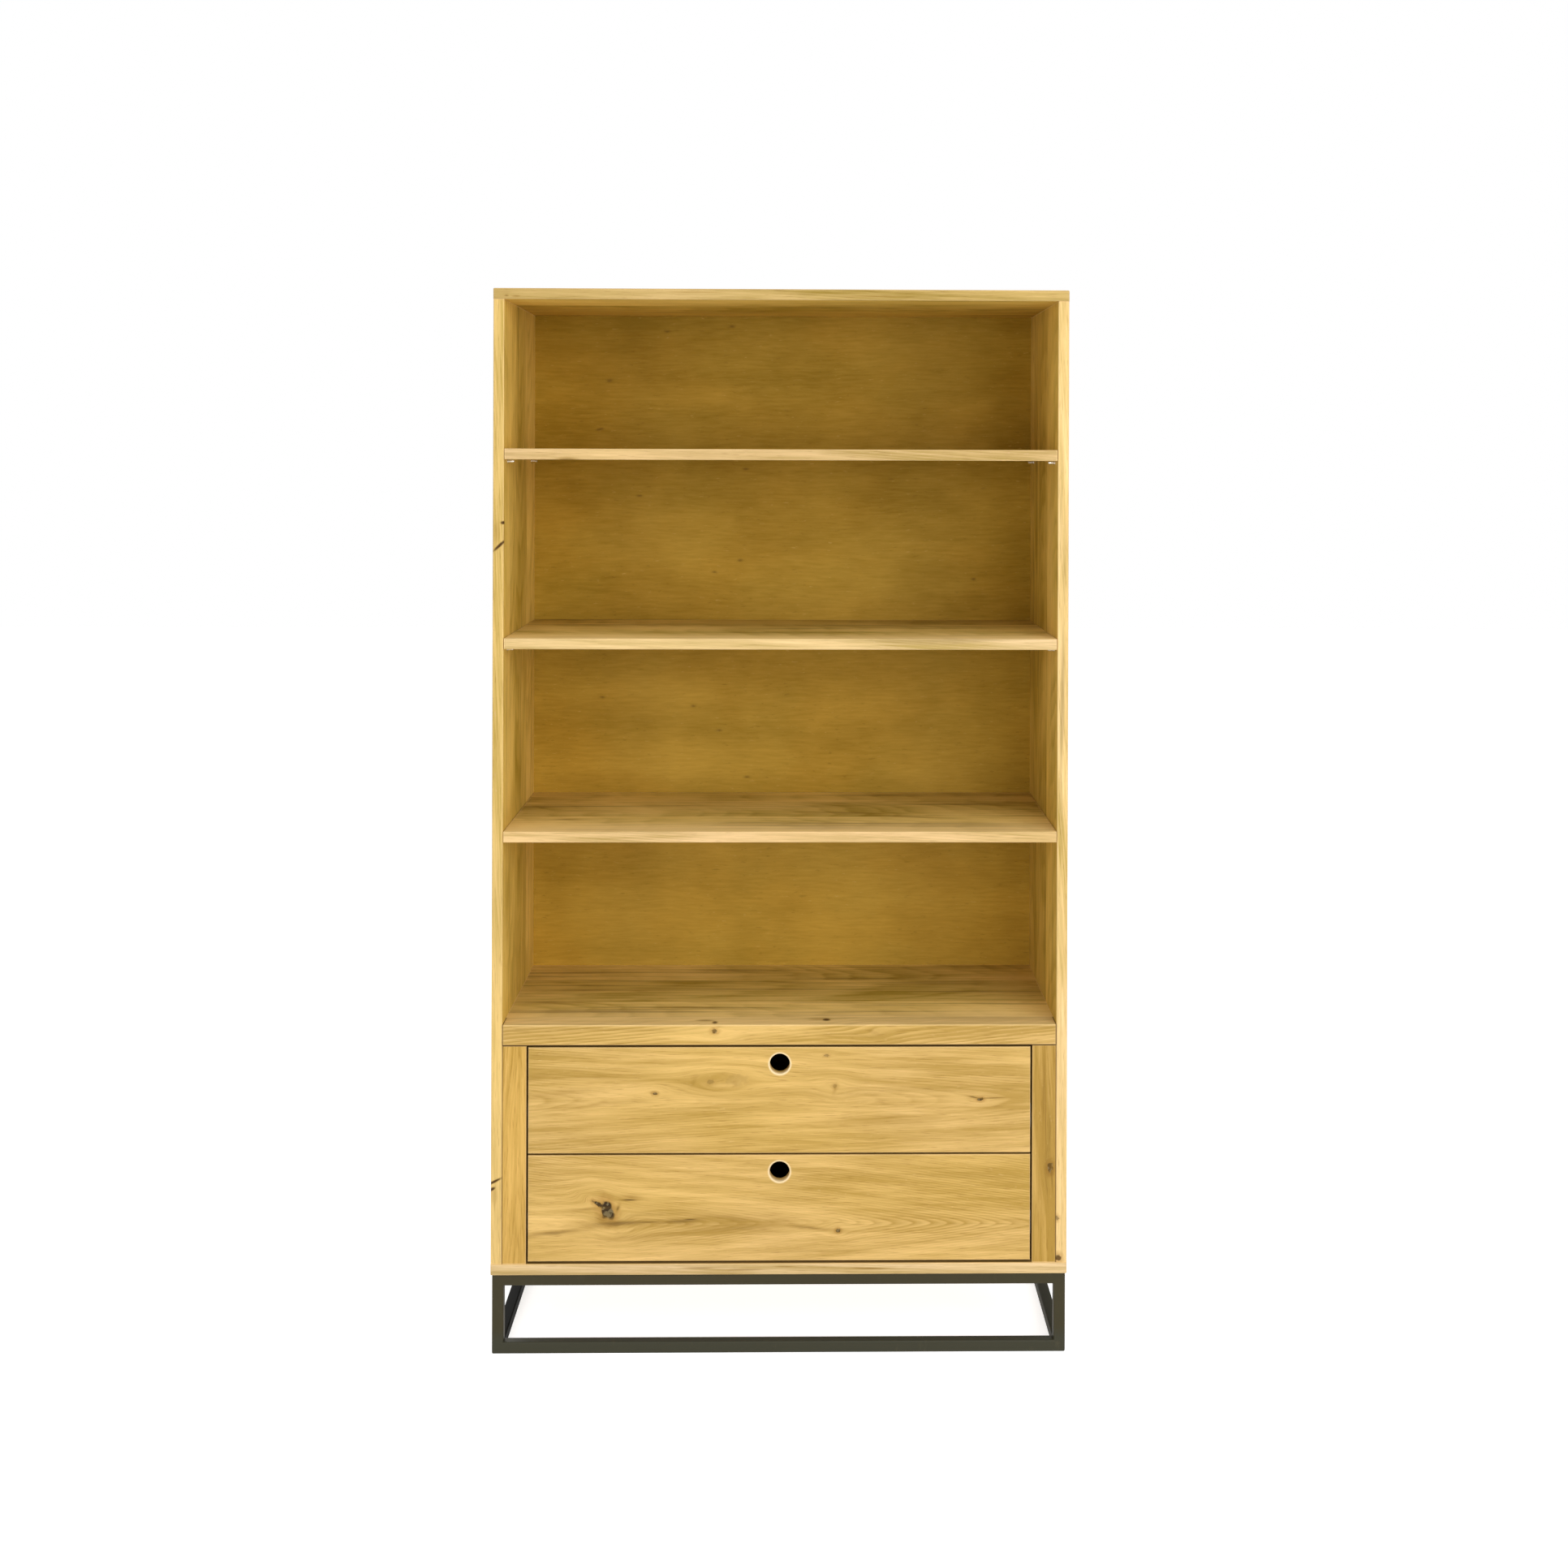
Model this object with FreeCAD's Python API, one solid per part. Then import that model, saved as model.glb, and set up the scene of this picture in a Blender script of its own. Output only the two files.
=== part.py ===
"""Solid-oak bookcase with two bottom drawers, on a welded square-tube steel base.

The carcass is a doweled oak box: a top and a bottom panel that cover the ends of the side panels, a fixed
deck with a thick front rail above the drawers, and three loose shelves on turned steel pins. A plywood back
stands in a rebate. Narrow stiles close the gap between the side panels and the runner walls, which carry
full-extension ball runners. Each drawer is a box of thin boards behind an inset oak front with a finger hole.

Millimetres. +X is to the right, +Y to the back, +Z up. The origin is on the floor, in the middle of the
carcass's footprint.
"""

import FreeCAD, Part
import math
import os
from FreeCAD import Vector

# ---------------------------------------------------------------- driving dimensions
# carcass
width = 1000.0
depth = 400.0
height = 1848.0
board_t = 19.0  # every oak board
edge_r = 2.0  # eased arris on the edges that a hand meets
front_setback = 2.0  # sides, shelves and fronts stand this far behind the top and bottom panels
back_t = 6.0  # plywood back
rebate_w = 10.0  # how far the back's rebate cuts into a board's thickness
back_gap = 0.5  # between the back and the rebate's walls

# fixed deck above the drawers
drawer_bay_h = 378.0  # from the bottom panel to the underside of the deck's rail
rail_h = 36.0
rail_d = 45.0
tongue_t = 6.0
tongue_d = 8.0
tongue_gap = 0.1

# loose shelves
shelf_clear = (316.0, 316.0, 310.0)  # clear heights from the deck upwards, below each shelf
shelf_end_gap = 1.0
shelf_back_gap = 1.0
pin_shank_r = 2.5
pin_shank_len = 10.0
pin_head_r = 3.5
pin_head_len = 12.0
pin_flat = 2.6  # from a pin's axis to the flat that the shelf rests on
pin_collar_r = 4.5
pin_collar_t = 1.2
pin_front_in = 43.0  # pin axes, in from the shelf's front and from the carcass's rear edge
pin_rear_in = 57.0

# dowels
dowel_r = 4.0
dowel_fit = 0.05  # radial room for the glue
dowel_in_face = 12.0  # how far a dowel stands in the board that it meets flat
dowel_in_end = 20.0  # how far it stands in the other board's end grain
dowel_end_gap = 1.0
dowel_edge_in = 45.0  # outer dowels of a row, in from the board's edges
dowels_per_side = 4
dowels_per_deck_end = 3
dowels_per_wall = 2

# front stiles and runner walls
stile_w = 42.0

# drawers
drawer_gap = 3.0  # round each front
drawer_bottom_gap = 4.0  # below the lower front
box_t = 13.0
box_h = 130.0
box_rear_gap = 13.0  # between the drawer box and the plywood back
box_lift = 12.0  # box above the lower edge of its front
box_back_in = 10.0  # the sides' length behind the drawer's back
dado_d = 6.0  # how far the sides stand in the front, and the bottom in its grooves
back_dado_d = 4.0  # how far the drawer's back stands in its sides
dado_gap = 0.1
box_edge_r = 1.5  # eased upper edges of the drawer box
drawer_floor_t = 5.0
drawer_floor_lift = 10.0  # drawer bottom's groove above the box's lower edge
hole_d = 35.0
hole_drop = 29.0  # finger hole's centre below the front's upper edge
hole_edge_r = 1.5

# ball runners
runner_start = 3.0  # behind the drawer front
runner_step = 50.0  # runners come in multiples of this length
stop_gap = 0.3  # between the members' rear ends and the tab that stops them
stop_over = 0.7  # how far the tab reaches past the inner member
runner_h = 45.0
runner_t = 12.7
runner_up = 45.0  # runner's centre above the box's lower edge
sheet_t = 1.2
bend_r = 0.8
race_pitch = 4.6  # from one member's flange to the next one's, across a row of balls
outer_flange = 10.0
lip_h = 1.5
web_gap = 2.0  # between the outer and the middle member's webs
flange_tip_gap = 0.9  # between the middle member's flanges and the inner member's web
inner_tip_gap = 1.3  # between the inner member's flanges and the middle member's web
cage_sheet_t = 0.6
cage_bend_r = 0.4
cage_tip_gap = 0.4  # in front of a cage's flanges
ball_fit = 0.25  # between a ball and either race
balls_per_row = 5
ball_pitch = 30.0
cage_end = 12.0  # cage past its end balls
cage_window = (46.0, 18.0)  # length and height of each window in a cage's web
access_hole_r = 5.5  # in the middle member, for the driver of a wall screw
spare_hole_r = 2.2  # unused holes of the outer member, and half the width of the inner member's slots
spare_slot_len = 9.0

# screws
screw_r = 1.75
screw_head_r = 3.4
screw_head_h = 1.6
screw_point_h = 4.0
back_screw_len = 22.0
back_screw_pitch = 330.0
back_screw_in = 5.0  # from the back panel's edge
runner_screw_len = 14.0
runner_screw_in = 40.0  # end screws, in from the runner's ends
runner_screws = 3
foot_screw_len = 16.0
foot_screw_r = 2.5
foot_screw_head_r = 4.5
foot_screw_head_h = 2.6

# steel base
base_h = 138.0
tube = 20.0
tube_wall = 2.0
tube_r = 2.5
weld_r = 4.0  # ground outer corners of the two welded frames
base_side_in = 2.0
base_front_in = 5.0
base_screw_in = 170.0  # screws in the long rails, in from the frame's ends
access_r = 6.0  # hole below each screw, for the driver

# ---------------------------------------------------------------- derived planes
front_y = -depth / 2
rear_y = depth / 2
face_y = front_y + front_setback  # front plane of sides, shelves, rail, stiles and drawer fronts
back_y = rear_y - back_t  # inner face of the plywood back
inner_x = width / 2 - board_t
floor_z = base_h + board_t  # top of the bottom panel
rail_z = floor_z + drawer_bay_h
deck_z = rail_z + rail_h
deck_under_z = deck_z - board_t
deck_mid_z = deck_z - board_t / 2
top_under_z = height - board_t
opening_x = inner_x - stile_w
fascia_y = face_y + board_t  # rear plane of stiles and drawer fronts
rail_back_y = face_y + rail_d
drawer_front_h = (drawer_bay_h - drawer_bottom_gap - 2 * drawer_gap) / 2
lower_front_z = floor_z + drawer_bottom_gap
upper_front_z = lower_front_z + drawer_front_h + drawer_gap
box_x = opening_x - runner_t  # outer face of a drawer box
box_len = back_y - box_rear_gap - fascia_y  # drawer box behind its front
runner_len = runner_step * math.floor((box_len - runner_start) / runner_step)
cage_len = (balls_per_row - 1) * ball_pitch + 2 * cage_end
middle_web_u = sheet_t + web_gap  # a runner's u is the distance from its wall
middle_tip_u = runner_t - sheet_t - flange_tip_gap
inner_tip_u = middle_web_u + sheet_t + inner_tip_gap
race_gap = race_pitch - sheet_t  # room for the balls
ball_r = race_gap / 2 - ball_fit
RIGHT, LEFT = 1, -1


def shelf_undersides():
    """Heights of the three loose shelves' undersides, from the lowest up."""
    levels = []
    base = deck_z
    for clear in shelf_clear:
        levels.append(base + clear)
        base += clear + board_t
    return levels


# ---------------------------------------------------------------- general helpers
def block(x, y, z):
    """A box from three (low, high) pairs."""
    return Part.makeBox(x[1] - x[0], y[1] - y[0], z[1] - z[0], Vector(x[0], y[0], z[0]))


def rod(start, direction, length, radius):
    return Part.makeCylinder(radius, length, Vector(*start), Vector(*direction))


def mirrored(shape):
    """The same piece on the other side of the bookcase."""
    return shape.mirror(Vector(0, 0, 0), Vector(1, 0, 0))


def on_side(shape, side):
    """A piece that was made on the right, put on the side that is asked for."""
    return shape if side == RIGHT else mirrored(shape)


def edges_at(shape, run, **at):
    """Straight edges that run along an axis ("x", "y" or "z") and lie at the given coordinates."""
    found = []
    for edge in shape.Edges:
        if edge.Curve.TypeId != "Part::GeomLine":
            continue
        start, end = edge.Vertexes[0].Point, edge.Vertexes[-1].Point
        along = end - start
        others = [axis for axis in "xyz" if axis != run]
        if any(abs(getattr(along, axis)) > 1e-6 for axis in others):
            continue
        if all(abs(getattr(start, axis) - value) < 1e-6 for axis, value in at.items()):
            found.append(edge)
    return found


def eased(shape, radius, *groups):
    """Rounds groups of edges, each given as (run, {axis: coordinate})."""
    edges = [edge for run, at in groups for edge in edges_at(shape, run, **at)]
    return shape.makeFillet(radius, edges)


def spread(low, high, count):
    """Evenly spaced values with both ends."""
    return [low + (high - low) * i / (count - 1) for i in range(count)]


def revolved(profile, place, direction):
    """A solid turned from (distance along the axis, radius) points, put at place along direction."""
    points = [Vector(radius, 0, along) for along, radius in profile]
    face_of_turning = Part.Face(Part.makePolygon(points + points[:1]))
    solid = face_of_turning.revolve(Vector(0, 0, 0), Vector(0, 0, 1), 360)
    turn = FreeCAD.Rotation(Vector(0, 0, 1), Vector(*direction))
    solid.Placement = FreeCAD.Placement(Vector(*place), turn)
    return solid


def bent_section(path, thickness, inside_r):
    """Face of a bent sheet's section in the XZ plane, from its centre line's corner points (x, z)."""
    points = [Vector(x, 0, z) for x, z in path]
    runs = [(b - a).normalize() for a, b in zip(points, points[1:])]
    sides = {+1: [], -1: []}  # edges along the left and the right of the centre line
    half = thickness / 2
    last = {side: points[0] + left_of(runs[0]) * (side * half) for side in sides}
    ends = dict(last)
    for corner, arriving, leaving in zip(points[1:-1], runs, runs[1:]):
        turn = math.atan2(cross(arriving, leaving), arriving.dot(leaving))
        reach = (inside_r + half) * math.tan(abs(turn) / 2)
        inward = 1 if turn > 0 else -1
        enter, leave = corner - arriving * reach, corner + leaving * reach
        centre = enter + left_of(arriving) * (inward * (inside_r + half))
        outward = (corner - centre).normalize()
        for side in sides:
            radius = inside_r + (0 if side == inward else thickness)
            first = enter + left_of(arriving) * (side * half)
            second = leave + left_of(leaving) * (side * half)
            sides[side].append(Part.LineSegment(last[side], first).toShape())
            sides[side].append(Part.Arc(first, centre + outward * radius, second).toShape())
            last[side] = second
    for side in sides:
        tip = points[-1] + left_of(runs[-1]) * (side * half)
        sides[side].append(Part.LineSegment(last[side], tip).toShape())
        last[side] = tip
    caps = [Part.LineSegment(ends[+1], ends[-1]).toShape(), Part.LineSegment(last[+1], last[-1]).toShape()]
    wire = Part.Wire(Part.__sortEdges__(sides[+1] + sides[-1] + caps))
    return Part.Face(wire)


def left_of(direction):
    """Unit vector to the left of a direction in the XZ plane."""
    return Vector(-direction.z, 0, direction.x)


def cross(a, b):
    return a.x * b.z - a.z * b.x


# ---------------------------------------------------------------- fasteners
def dowel(place, direction, end_gap=0.0, radius=dowel_r):
    """A dowel, or its hole when it is given an end gap and a larger radius.

    place is on the joint's plane, and direction points into the end grain.
    """
    chamfer = 0.0 if end_gap else 1.0
    length = dowel_in_face + dowel_in_end + end_gap
    tip = radius - chamfer
    profile = [(0, 0), (0, tip), (chamfer, radius), (length - chamfer, radius), (length, tip), (length, 0)]
    profile = [point for i, point in enumerate(profile) if i == 0 or point != profile[i - 1]]
    start = Vector(*place) - Vector(*direction) * dowel_in_face
    return revolved(profile, start, direction)


def dowel_places():
    """(place, direction into the end grain) of every dowel in the carcass."""
    places = []
    rows = spread(face_y + dowel_edge_in, back_y - dowel_edge_in, dowels_per_side)
    deck_rows = spread(rail_back_y + dowel_edge_in, back_y - dowel_edge_in, dowels_per_deck_end)
    for side in (LEFT, RIGHT):
        for y in rows:
            side_mid = side * (width / 2 - board_t / 2)
            places.append(((side_mid, y, top_under_z), (0, 0, -1)))
            places.append(((side_mid, y, floor_z), (0, 0, 1)))
        for y in deck_rows:
            places.append(((side * inner_x, y, deck_mid_z), (-side, 0, 0)))
        places.append(((side * inner_x, face_y + rail_d / 2, rail_z + rail_h / 2), (-side, 0, 0)))
        for y in spread(rail_back_y + dowel_edge_in, back_y - dowel_edge_in, dowels_per_wall):
            wall_mid = side * (opening_x + board_t / 2)
            places.append(((wall_mid, y, floor_z), (0, 0, 1)))
            places.append(((wall_mid, y, deck_under_z), (0, 0, -1)))
    return places


def dowels():
    return [dowel(place, direction) for place, direction in dowel_places()]


def dowel_holes():
    radius = dowel_r + dowel_fit
    return [dowel(place, direction, dowel_end_gap, radius) for place, direction in dowel_places()]


def screw(place, direction, length, radius=screw_r, head_r=screw_head_r, head_h=screw_head_h):
    """A countersunk screw whose head is flush at place, and which runs along direction."""
    point = min(screw_point_h, length / 2)
    profile = [(0, 0), (0, head_r), (head_h, radius), (length - point, radius), (length, 0)]
    return revolved(profile, place, direction)


def back_screws():
    """Screws through the plywood back, into the rebates of the sides, the top and the bottom."""
    edge_x = inner_x + rebate_w - back_gap - back_screw_in
    low_z = floor_z - rebate_w + back_gap + back_screw_in
    high_z = top_under_z + rebate_w - back_gap - back_screw_in
    rows = max(2, round((high_z - low_z) / back_screw_pitch) + 1)
    places = [(x, z) for x in (-edge_x, edge_x) for z in spread(low_z, high_z, rows)]
    columns = max(3, round(2 * edge_x / back_screw_pitch) + 1)
    places += [(x, z) for z in (low_z, high_z) for x in spread(-edge_x, edge_x, columns)[1:-1]]
    places += [(x, deck_mid_z) for x in spread(-edge_x, edge_x, columns)[1:-1]]
    return [screw((x, rear_y, z), (0, -1, 0), back_screw_len) for x, z in places]


def runner_screw_rows():
    first = fascia_y + runner_start + runner_screw_in
    return spread(first, first + runner_len - 2 * runner_screw_in, runner_screws)


def wall_screws(side, runner_z):
    """Screws that hold an outer member to its runner wall."""
    made = []
    for y in runner_screw_rows():
        made.append(screw((opening_x - sheet_t, y, runner_z), (1, 0, 0), runner_screw_len))
    return [on_side(shape, side) for shape in made]


def drawer_screws(side, runner_z):
    """Screws that hold an inner member to the drawer's side."""
    made = []
    for y in runner_screw_rows():
        made.append(screw((box_x + sheet_t, y, runner_z), (-1, 0, 0), box_t - 1.0))
    return [on_side(shape, side) for shape in made]


def base_screw_places():
    """(x, y) of the screws that hold the base to the bottom panel."""
    long_x = width / 2 - base_side_in - base_screw_in
    long_y = depth / 2 - base_front_in - tube / 2
    side_x = width / 2 - base_side_in - tube / 2
    return [(x, y) for x in (-long_x, long_x) for y in (-long_y, long_y)] + [(-side_x, 0), (side_x, 0)]


def base_screws():
    """Pan-head screws inside the upper tubes, driven up into the bottom panel."""
    seat = base_h - tube_wall
    profile = [
        (-foot_screw_head_h, 0),
        (-foot_screw_head_h, foot_screw_head_r - 1),
        (-foot_screw_head_h + 1, foot_screw_head_r),
        (0, foot_screw_head_r),
        (0, foot_screw_r),
        (foot_screw_len - screw_point_h, foot_screw_r),
        (foot_screw_len, 0),
    ]
    return [revolved(profile, (x, y, seat), (0, 0, 1)) for x, y in base_screw_places()]


# ---------------------------------------------------------------- carcass boards
def back_rebate():
    """The space that the plywood back stands in, as a cutter for the four boards round it."""
    reach = inner_x + rebate_w
    return block((-reach, reach), (back_y, rear_y + 1), (floor_z - rebate_w, top_under_z + rebate_w))


def cut_all(shape, cutters):
    """Takes away the cutters that reach the shape."""
    near = [cutter for cutter in cutters if cutter.BoundBox.intersect(shape.BoundBox)]
    return shape.cut(near) if near else shape


def top_panel():
    panel = block((-width / 2, width / 2), (front_y, rear_y), (top_under_z, height))
    panel = eased(panel, edge_r, ("x", {"y": front_y}), ("z", {"y": front_y}), ("y", {"z": height}))
    return cut_all(panel, [back_rebate()] + dowel_holes() + back_screws())


def bottom_panel():
    panel = block((-width / 2, width / 2), (front_y, rear_y), (base_h, floor_z))
    panel = eased(panel, edge_r, ("x", {"y": front_y}), ("z", {"y": front_y}), ("y", {"z": base_h}))
    return cut_all(panel, [back_rebate()] + dowel_holes() + base_screws() + back_screws())


def side_panel(side):
    panel = block((inner_x, width / 2), (face_y, rear_y), (floor_z, top_under_z))
    panel = on_side(eased(panel, edge_r, ("z", {"y": face_y})), side)
    holes = [on_side(hole, side) for hole in pin_holes()]
    return cut_all(panel, [back_rebate()] + dowel_holes() + holes + back_screws())


def back_panel():
    reach = inner_x + rebate_w - back_gap
    low, high = floor_z - rebate_w + back_gap, top_under_z + rebate_w - back_gap
    return cut_all(block((-reach, reach), (back_y, rear_y), (low, high)), back_screws())


def deck_rail():
    """Thick front rail of the deck, grooved behind for the panel's tongue."""
    rail = block((-inner_x, inner_x), (face_y, rail_back_y), (rail_z, deck_z))
    rail = eased(rail, edge_r, ("x", {"y": face_y}))
    half = tongue_t / 2 + tongue_gap
    groove = block(
        (-inner_x - 1, inner_x + 1),
        (rail_back_y - tongue_d - tongue_gap, rail_back_y + 1),
        (deck_mid_z - half, deck_mid_z + half),
    )
    return cut_all(rail.cut(groove), dowel_holes())


def deck_panel():
    panel = block((-inner_x, inner_x), (rail_back_y, back_y), (deck_under_z, deck_z))
    tongue = block(
        (-inner_x, inner_x),
        (rail_back_y - tongue_d, rail_back_y),
        (deck_mid_z - tongue_t / 2, deck_mid_z + tongue_t / 2),
    )
    return cut_all(panel.fuse(tongue).removeSplitter(), dowel_holes() + back_screws())


def stile(side):
    """Narrow upright that closes the gap between a side panel and its runner wall."""
    upright = block((opening_x, inner_x), (face_y, fascia_y), (floor_z, rail_z))
    return on_side(eased(upright, edge_r, ("z", {"y": face_y})), side)


def runner_wall(side):
    """Inner wall behind a stile, notched under the deck's rail, which carries both runners."""
    wall = block((opening_x, opening_x + board_t), (fascia_y, back_y), (floor_z, deck_under_z))
    notch = block(
        (opening_x - 1, opening_x + board_t + 1),
        (fascia_y - 1, rail_back_y),
        (rail_z, deck_under_z + 1),
    )
    screws = [each for z in (lower_front_z, upper_front_z) for each in wall_screws(RIGHT, runner_mid_z(z))]
    return on_side(cut_all(wall.cut(notch), screws + dowel_holes()), side)


def shelf(underside):
    board = block(
        (-inner_x + shelf_end_gap, inner_x - shelf_end_gap),
        (face_y, back_y - shelf_back_gap),
        (underside, underside + board_t),
    )
    return eased(board, edge_r, ("x", {"y": face_y}))


# ---------------------------------------------------------------- shelf pins
def pin_places():
    """(y, z) of every pin's axis on one side."""
    return [
        (y, underside - pin_flat)
        for underside in shelf_undersides()
        for y in (face_y + pin_front_in, rear_y - pin_rear_in)
    ]


def pin_holes():
    return [rod((inner_x, y, z), (1, 0, 0), pin_shank_len, pin_shank_r) for y, z in pin_places()]


def shelf_pins():
    """Turned pins with a collar and a flat on top of the head, twelve in all."""
    made = []
    round_tip = pin_head_r / 3
    profile = [
        (-pin_shank_len, 0),
        (-pin_shank_len, pin_shank_r),
        (0, pin_shank_r),
        (0, pin_collar_r),
        (pin_collar_t, pin_collar_r),
        (pin_collar_t, pin_head_r),
        (pin_head_len - round_tip, pin_head_r),
        (pin_head_len, pin_head_r - round_tip),
        (pin_head_len, 0),
    ]
    for y, z in pin_places():
        pin = revolved(profile, (inner_x, y, z), (-1, 0, 0))
        above = block(
            (inner_x - pin_head_len - 1, inner_x),
            (y - pin_collar_r - 1, y + pin_collar_r + 1),
            (z + pin_flat, z + pin_collar_r + 1),
        )
        pin = pin.cut(above)
        made += [pin, mirrored(pin)]
    return made


# ---------------------------------------------------------------- steel base
def tube_along(axis, low, high, across):
    """A square tube along "x", "y" or "z" from low to high, with its axis through the point across."""
    length = high - low
    half = tube / 2
    skin = block((-half, half), (-half, half), (0, length))
    skin = skin.makeFillet(tube_r, edges_at(skin, "z"))
    inside = half - tube_wall
    shape = skin.cut(block((-inside, inside), (-inside, inside), (0, length)))
    if axis == "x":
        turn = FreeCAD.Rotation(Vector(0, 0, 1), Vector(1, 0, 0))
        place = Vector(low, across[0], across[1])
    elif axis == "y":
        turn = FreeCAD.Rotation(Vector(0, 0, 1), Vector(0, 1, 0))
        place = Vector(across[0], low, across[1])
    else:
        turn = FreeCAD.Rotation()
        place = Vector(across[0], across[1], low)
    shape.Placement = FreeCAD.Placement(place, turn)
    return shape


def screw_access(shape):
    """Drills the tube's upper wall for a screw and its lower wall for the driver."""
    cutters = []
    for x, y in base_screw_places():
        cutters.append(rod((x, y, base_h - tube_wall - 1), (0, 0, 1), tube_wall + 2, foot_screw_r))
        cutters.append(rod((x, y, base_h - tube - 1), (0, 0, 1), tube_wall + 2, access_r))
    return cut_all(shape, cutters)


def welded_frame(y_mid):
    """Four mitred tubes of a standing frame: left and right leg, bottom and top rail."""
    left, right = -width / 2 + base_side_in, width / 2 - base_side_in
    near, far = y_mid - tube / 2, y_mid + tube / 2
    outline = block((left, right), (near - 1, far + 1), (0, base_h))
    outline = outline.makeFillet(weld_r, edges_at(outline, "y"))

    def mitred(shape, corners):
        points = [Vector(x, near - 1, z) for x, z in corners]
        wedge = Part.Face(Part.makePolygon(points + points[:1])).extrude(Vector(0, tube + 2, 0))
        return shape.common(wedge).common(outline)

    inside = (left + tube, right - tube, tube, base_h - tube)
    leg_left = [(left, 0), (inside[0], inside[2]), (inside[0], inside[3]), (left, base_h)]
    leg_right = [(right, 0), (right, base_h), (inside[1], inside[3]), (inside[1], inside[2])]
    rail_low = [(left, 0), (right, 0), (inside[1], inside[2]), (inside[0], inside[2])]
    rail_high = [(left, base_h), (inside[0], inside[3]), (inside[1], inside[3]), (right, base_h)]
    return (
        mitred(tube_along("z", 0, base_h, (left + tube / 2, y_mid)), leg_left),
        mitred(tube_along("z", 0, base_h, (right - tube / 2, y_mid)), leg_right),
        mitred(tube_along("x", left, right, (y_mid, tube / 2)), rail_low),
        screw_access(mitred(tube_along("x", left, right, (y_mid, base_h - tube / 2)), rail_high)),
    )


def base_nodes():
    """The base's twelve tubes by name."""
    nodes = {}
    y_mid = depth / 2 - base_front_in - tube / 2
    for end, y in (("front", -y_mid), ("rear", y_mid)):
        left, right, low, high = welded_frame(y)
        nodes[f"base_leg_{end}_left"] = left
        nodes[f"base_leg_{end}_right"] = right
        nodes[f"base_rail_{end}_bottom"] = low
        nodes[f"base_rail_{end}_top"] = high
    reach = y_mid - tube / 2
    x_mid = width / 2 - base_side_in - tube / 2
    for name, x in (("left", -x_mid), ("right", x_mid)):
        nodes[f"base_tube_{name}_bottom"] = tube_along("y", -reach, reach, (x, tube / 2))
        nodes[f"base_tube_{name}_top"] = screw_access(tube_along("y", -reach, reach, (x, base_h - tube / 2)))
    return nodes


# ---------------------------------------------------------------- drawers
def runner_mid_z(front_z):
    """Height of a drawer's runners, from the lower edge of its front."""
    return front_z + box_lift + runner_up


def drawer_floor_z(front_z):
    return front_z + box_lift + drawer_floor_lift


def drawer_floor_groove(front_z):
    """Cutter for the groove that the drawer's plywood bottom slides into, on all four sides."""
    reach = box_x - box_t + dado_d + dado_gap
    z = drawer_floor_z(front_z)
    return block(
        (-reach, reach),
        (fascia_y - dado_d - dado_gap, drawer_back_y() + dado_d + dado_gap),
        (z, z + drawer_floor_t + dado_gap),
    )


def drawer_front(front_z):
    """Inset oak front with a round finger hole, and dadoes behind for the drawer's sides."""
    half = opening_x - drawer_gap
    upper = front_z + drawer_front_h
    board = block((-half, half), (face_y, fascia_y), (front_z, upper))
    board = eased(board, edge_r, ("x", {"y": face_y}), ("z", {"y": face_y}))
    board = board.cut(rod((0, face_y - 1, upper - hole_drop), (0, 1, 0), board_t + 2, hole_d / 2))
    rims = [edge for edge in board.Edges if edge.Curve.TypeId == "Part::GeomCircle"]
    rims = [edge for edge in rims if abs(edge.Curve.Radius - hole_d / 2) < 1e-6]
    board = board.makeFillet(hole_edge_r, rims)
    cutters = [drawer_floor_groove(front_z)]
    for side in (LEFT, RIGHT):
        dado = block(
            (box_x - box_t - dado_gap, box_x + dado_gap),
            (fascia_y - dado_d, fascia_y + 1),
            (front_z + box_lift, front_z + box_lift + box_h + dado_gap),
        )
        cutters.append(on_side(dado, side))
    return board.cut(cutters)


def drawer_side(front_z, side):
    """Side of the drawer box, with an eased upper edge, a groove for the bottom and a dado for the back."""
    z = front_z + box_lift
    board = block((box_x - box_t, box_x), (fascia_y - dado_d, fascia_y + box_len), (z, z + box_h))
    board = eased(board, box_edge_r, ("y", {"z": z + box_h}))
    y = drawer_back_y()
    dado = block(
        (box_x - box_t - 1, box_x - box_t + back_dado_d + dado_gap),
        (y - dado_gap, y + box_t + dado_gap),
        (z - 1, z + box_h + 1),
    )
    board = board.cut([drawer_floor_groove(front_z), dado])
    return on_side(cut_all(board, drawer_screws(RIGHT, runner_mid_z(front_z))), side)


def drawer_back_y():
    """Front face of the drawer's back, which leaves a little of each side standing behind it."""
    return fascia_y + box_len - box_back_in - box_t


def drawer_back(front_z):
    z = front_z + box_lift
    reach = box_x - box_t + back_dado_d
    y = drawer_back_y()
    board = block((-reach, reach), (y, y + box_t), (z, z + box_h))
    return eased(board, box_edge_r, ("x", {"z": z + box_h})).cut(drawer_floor_groove(front_z))


def drawer_floor(front_z):
    """Plywood bottom, which rests on the lower face of its groove."""
    reach = box_x - box_t + dado_d
    z = drawer_floor_z(front_z)
    return block((-reach, reach), (fascia_y - dado_d, drawer_back_y() + dado_d), (z, z + drawer_floor_t))


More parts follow.
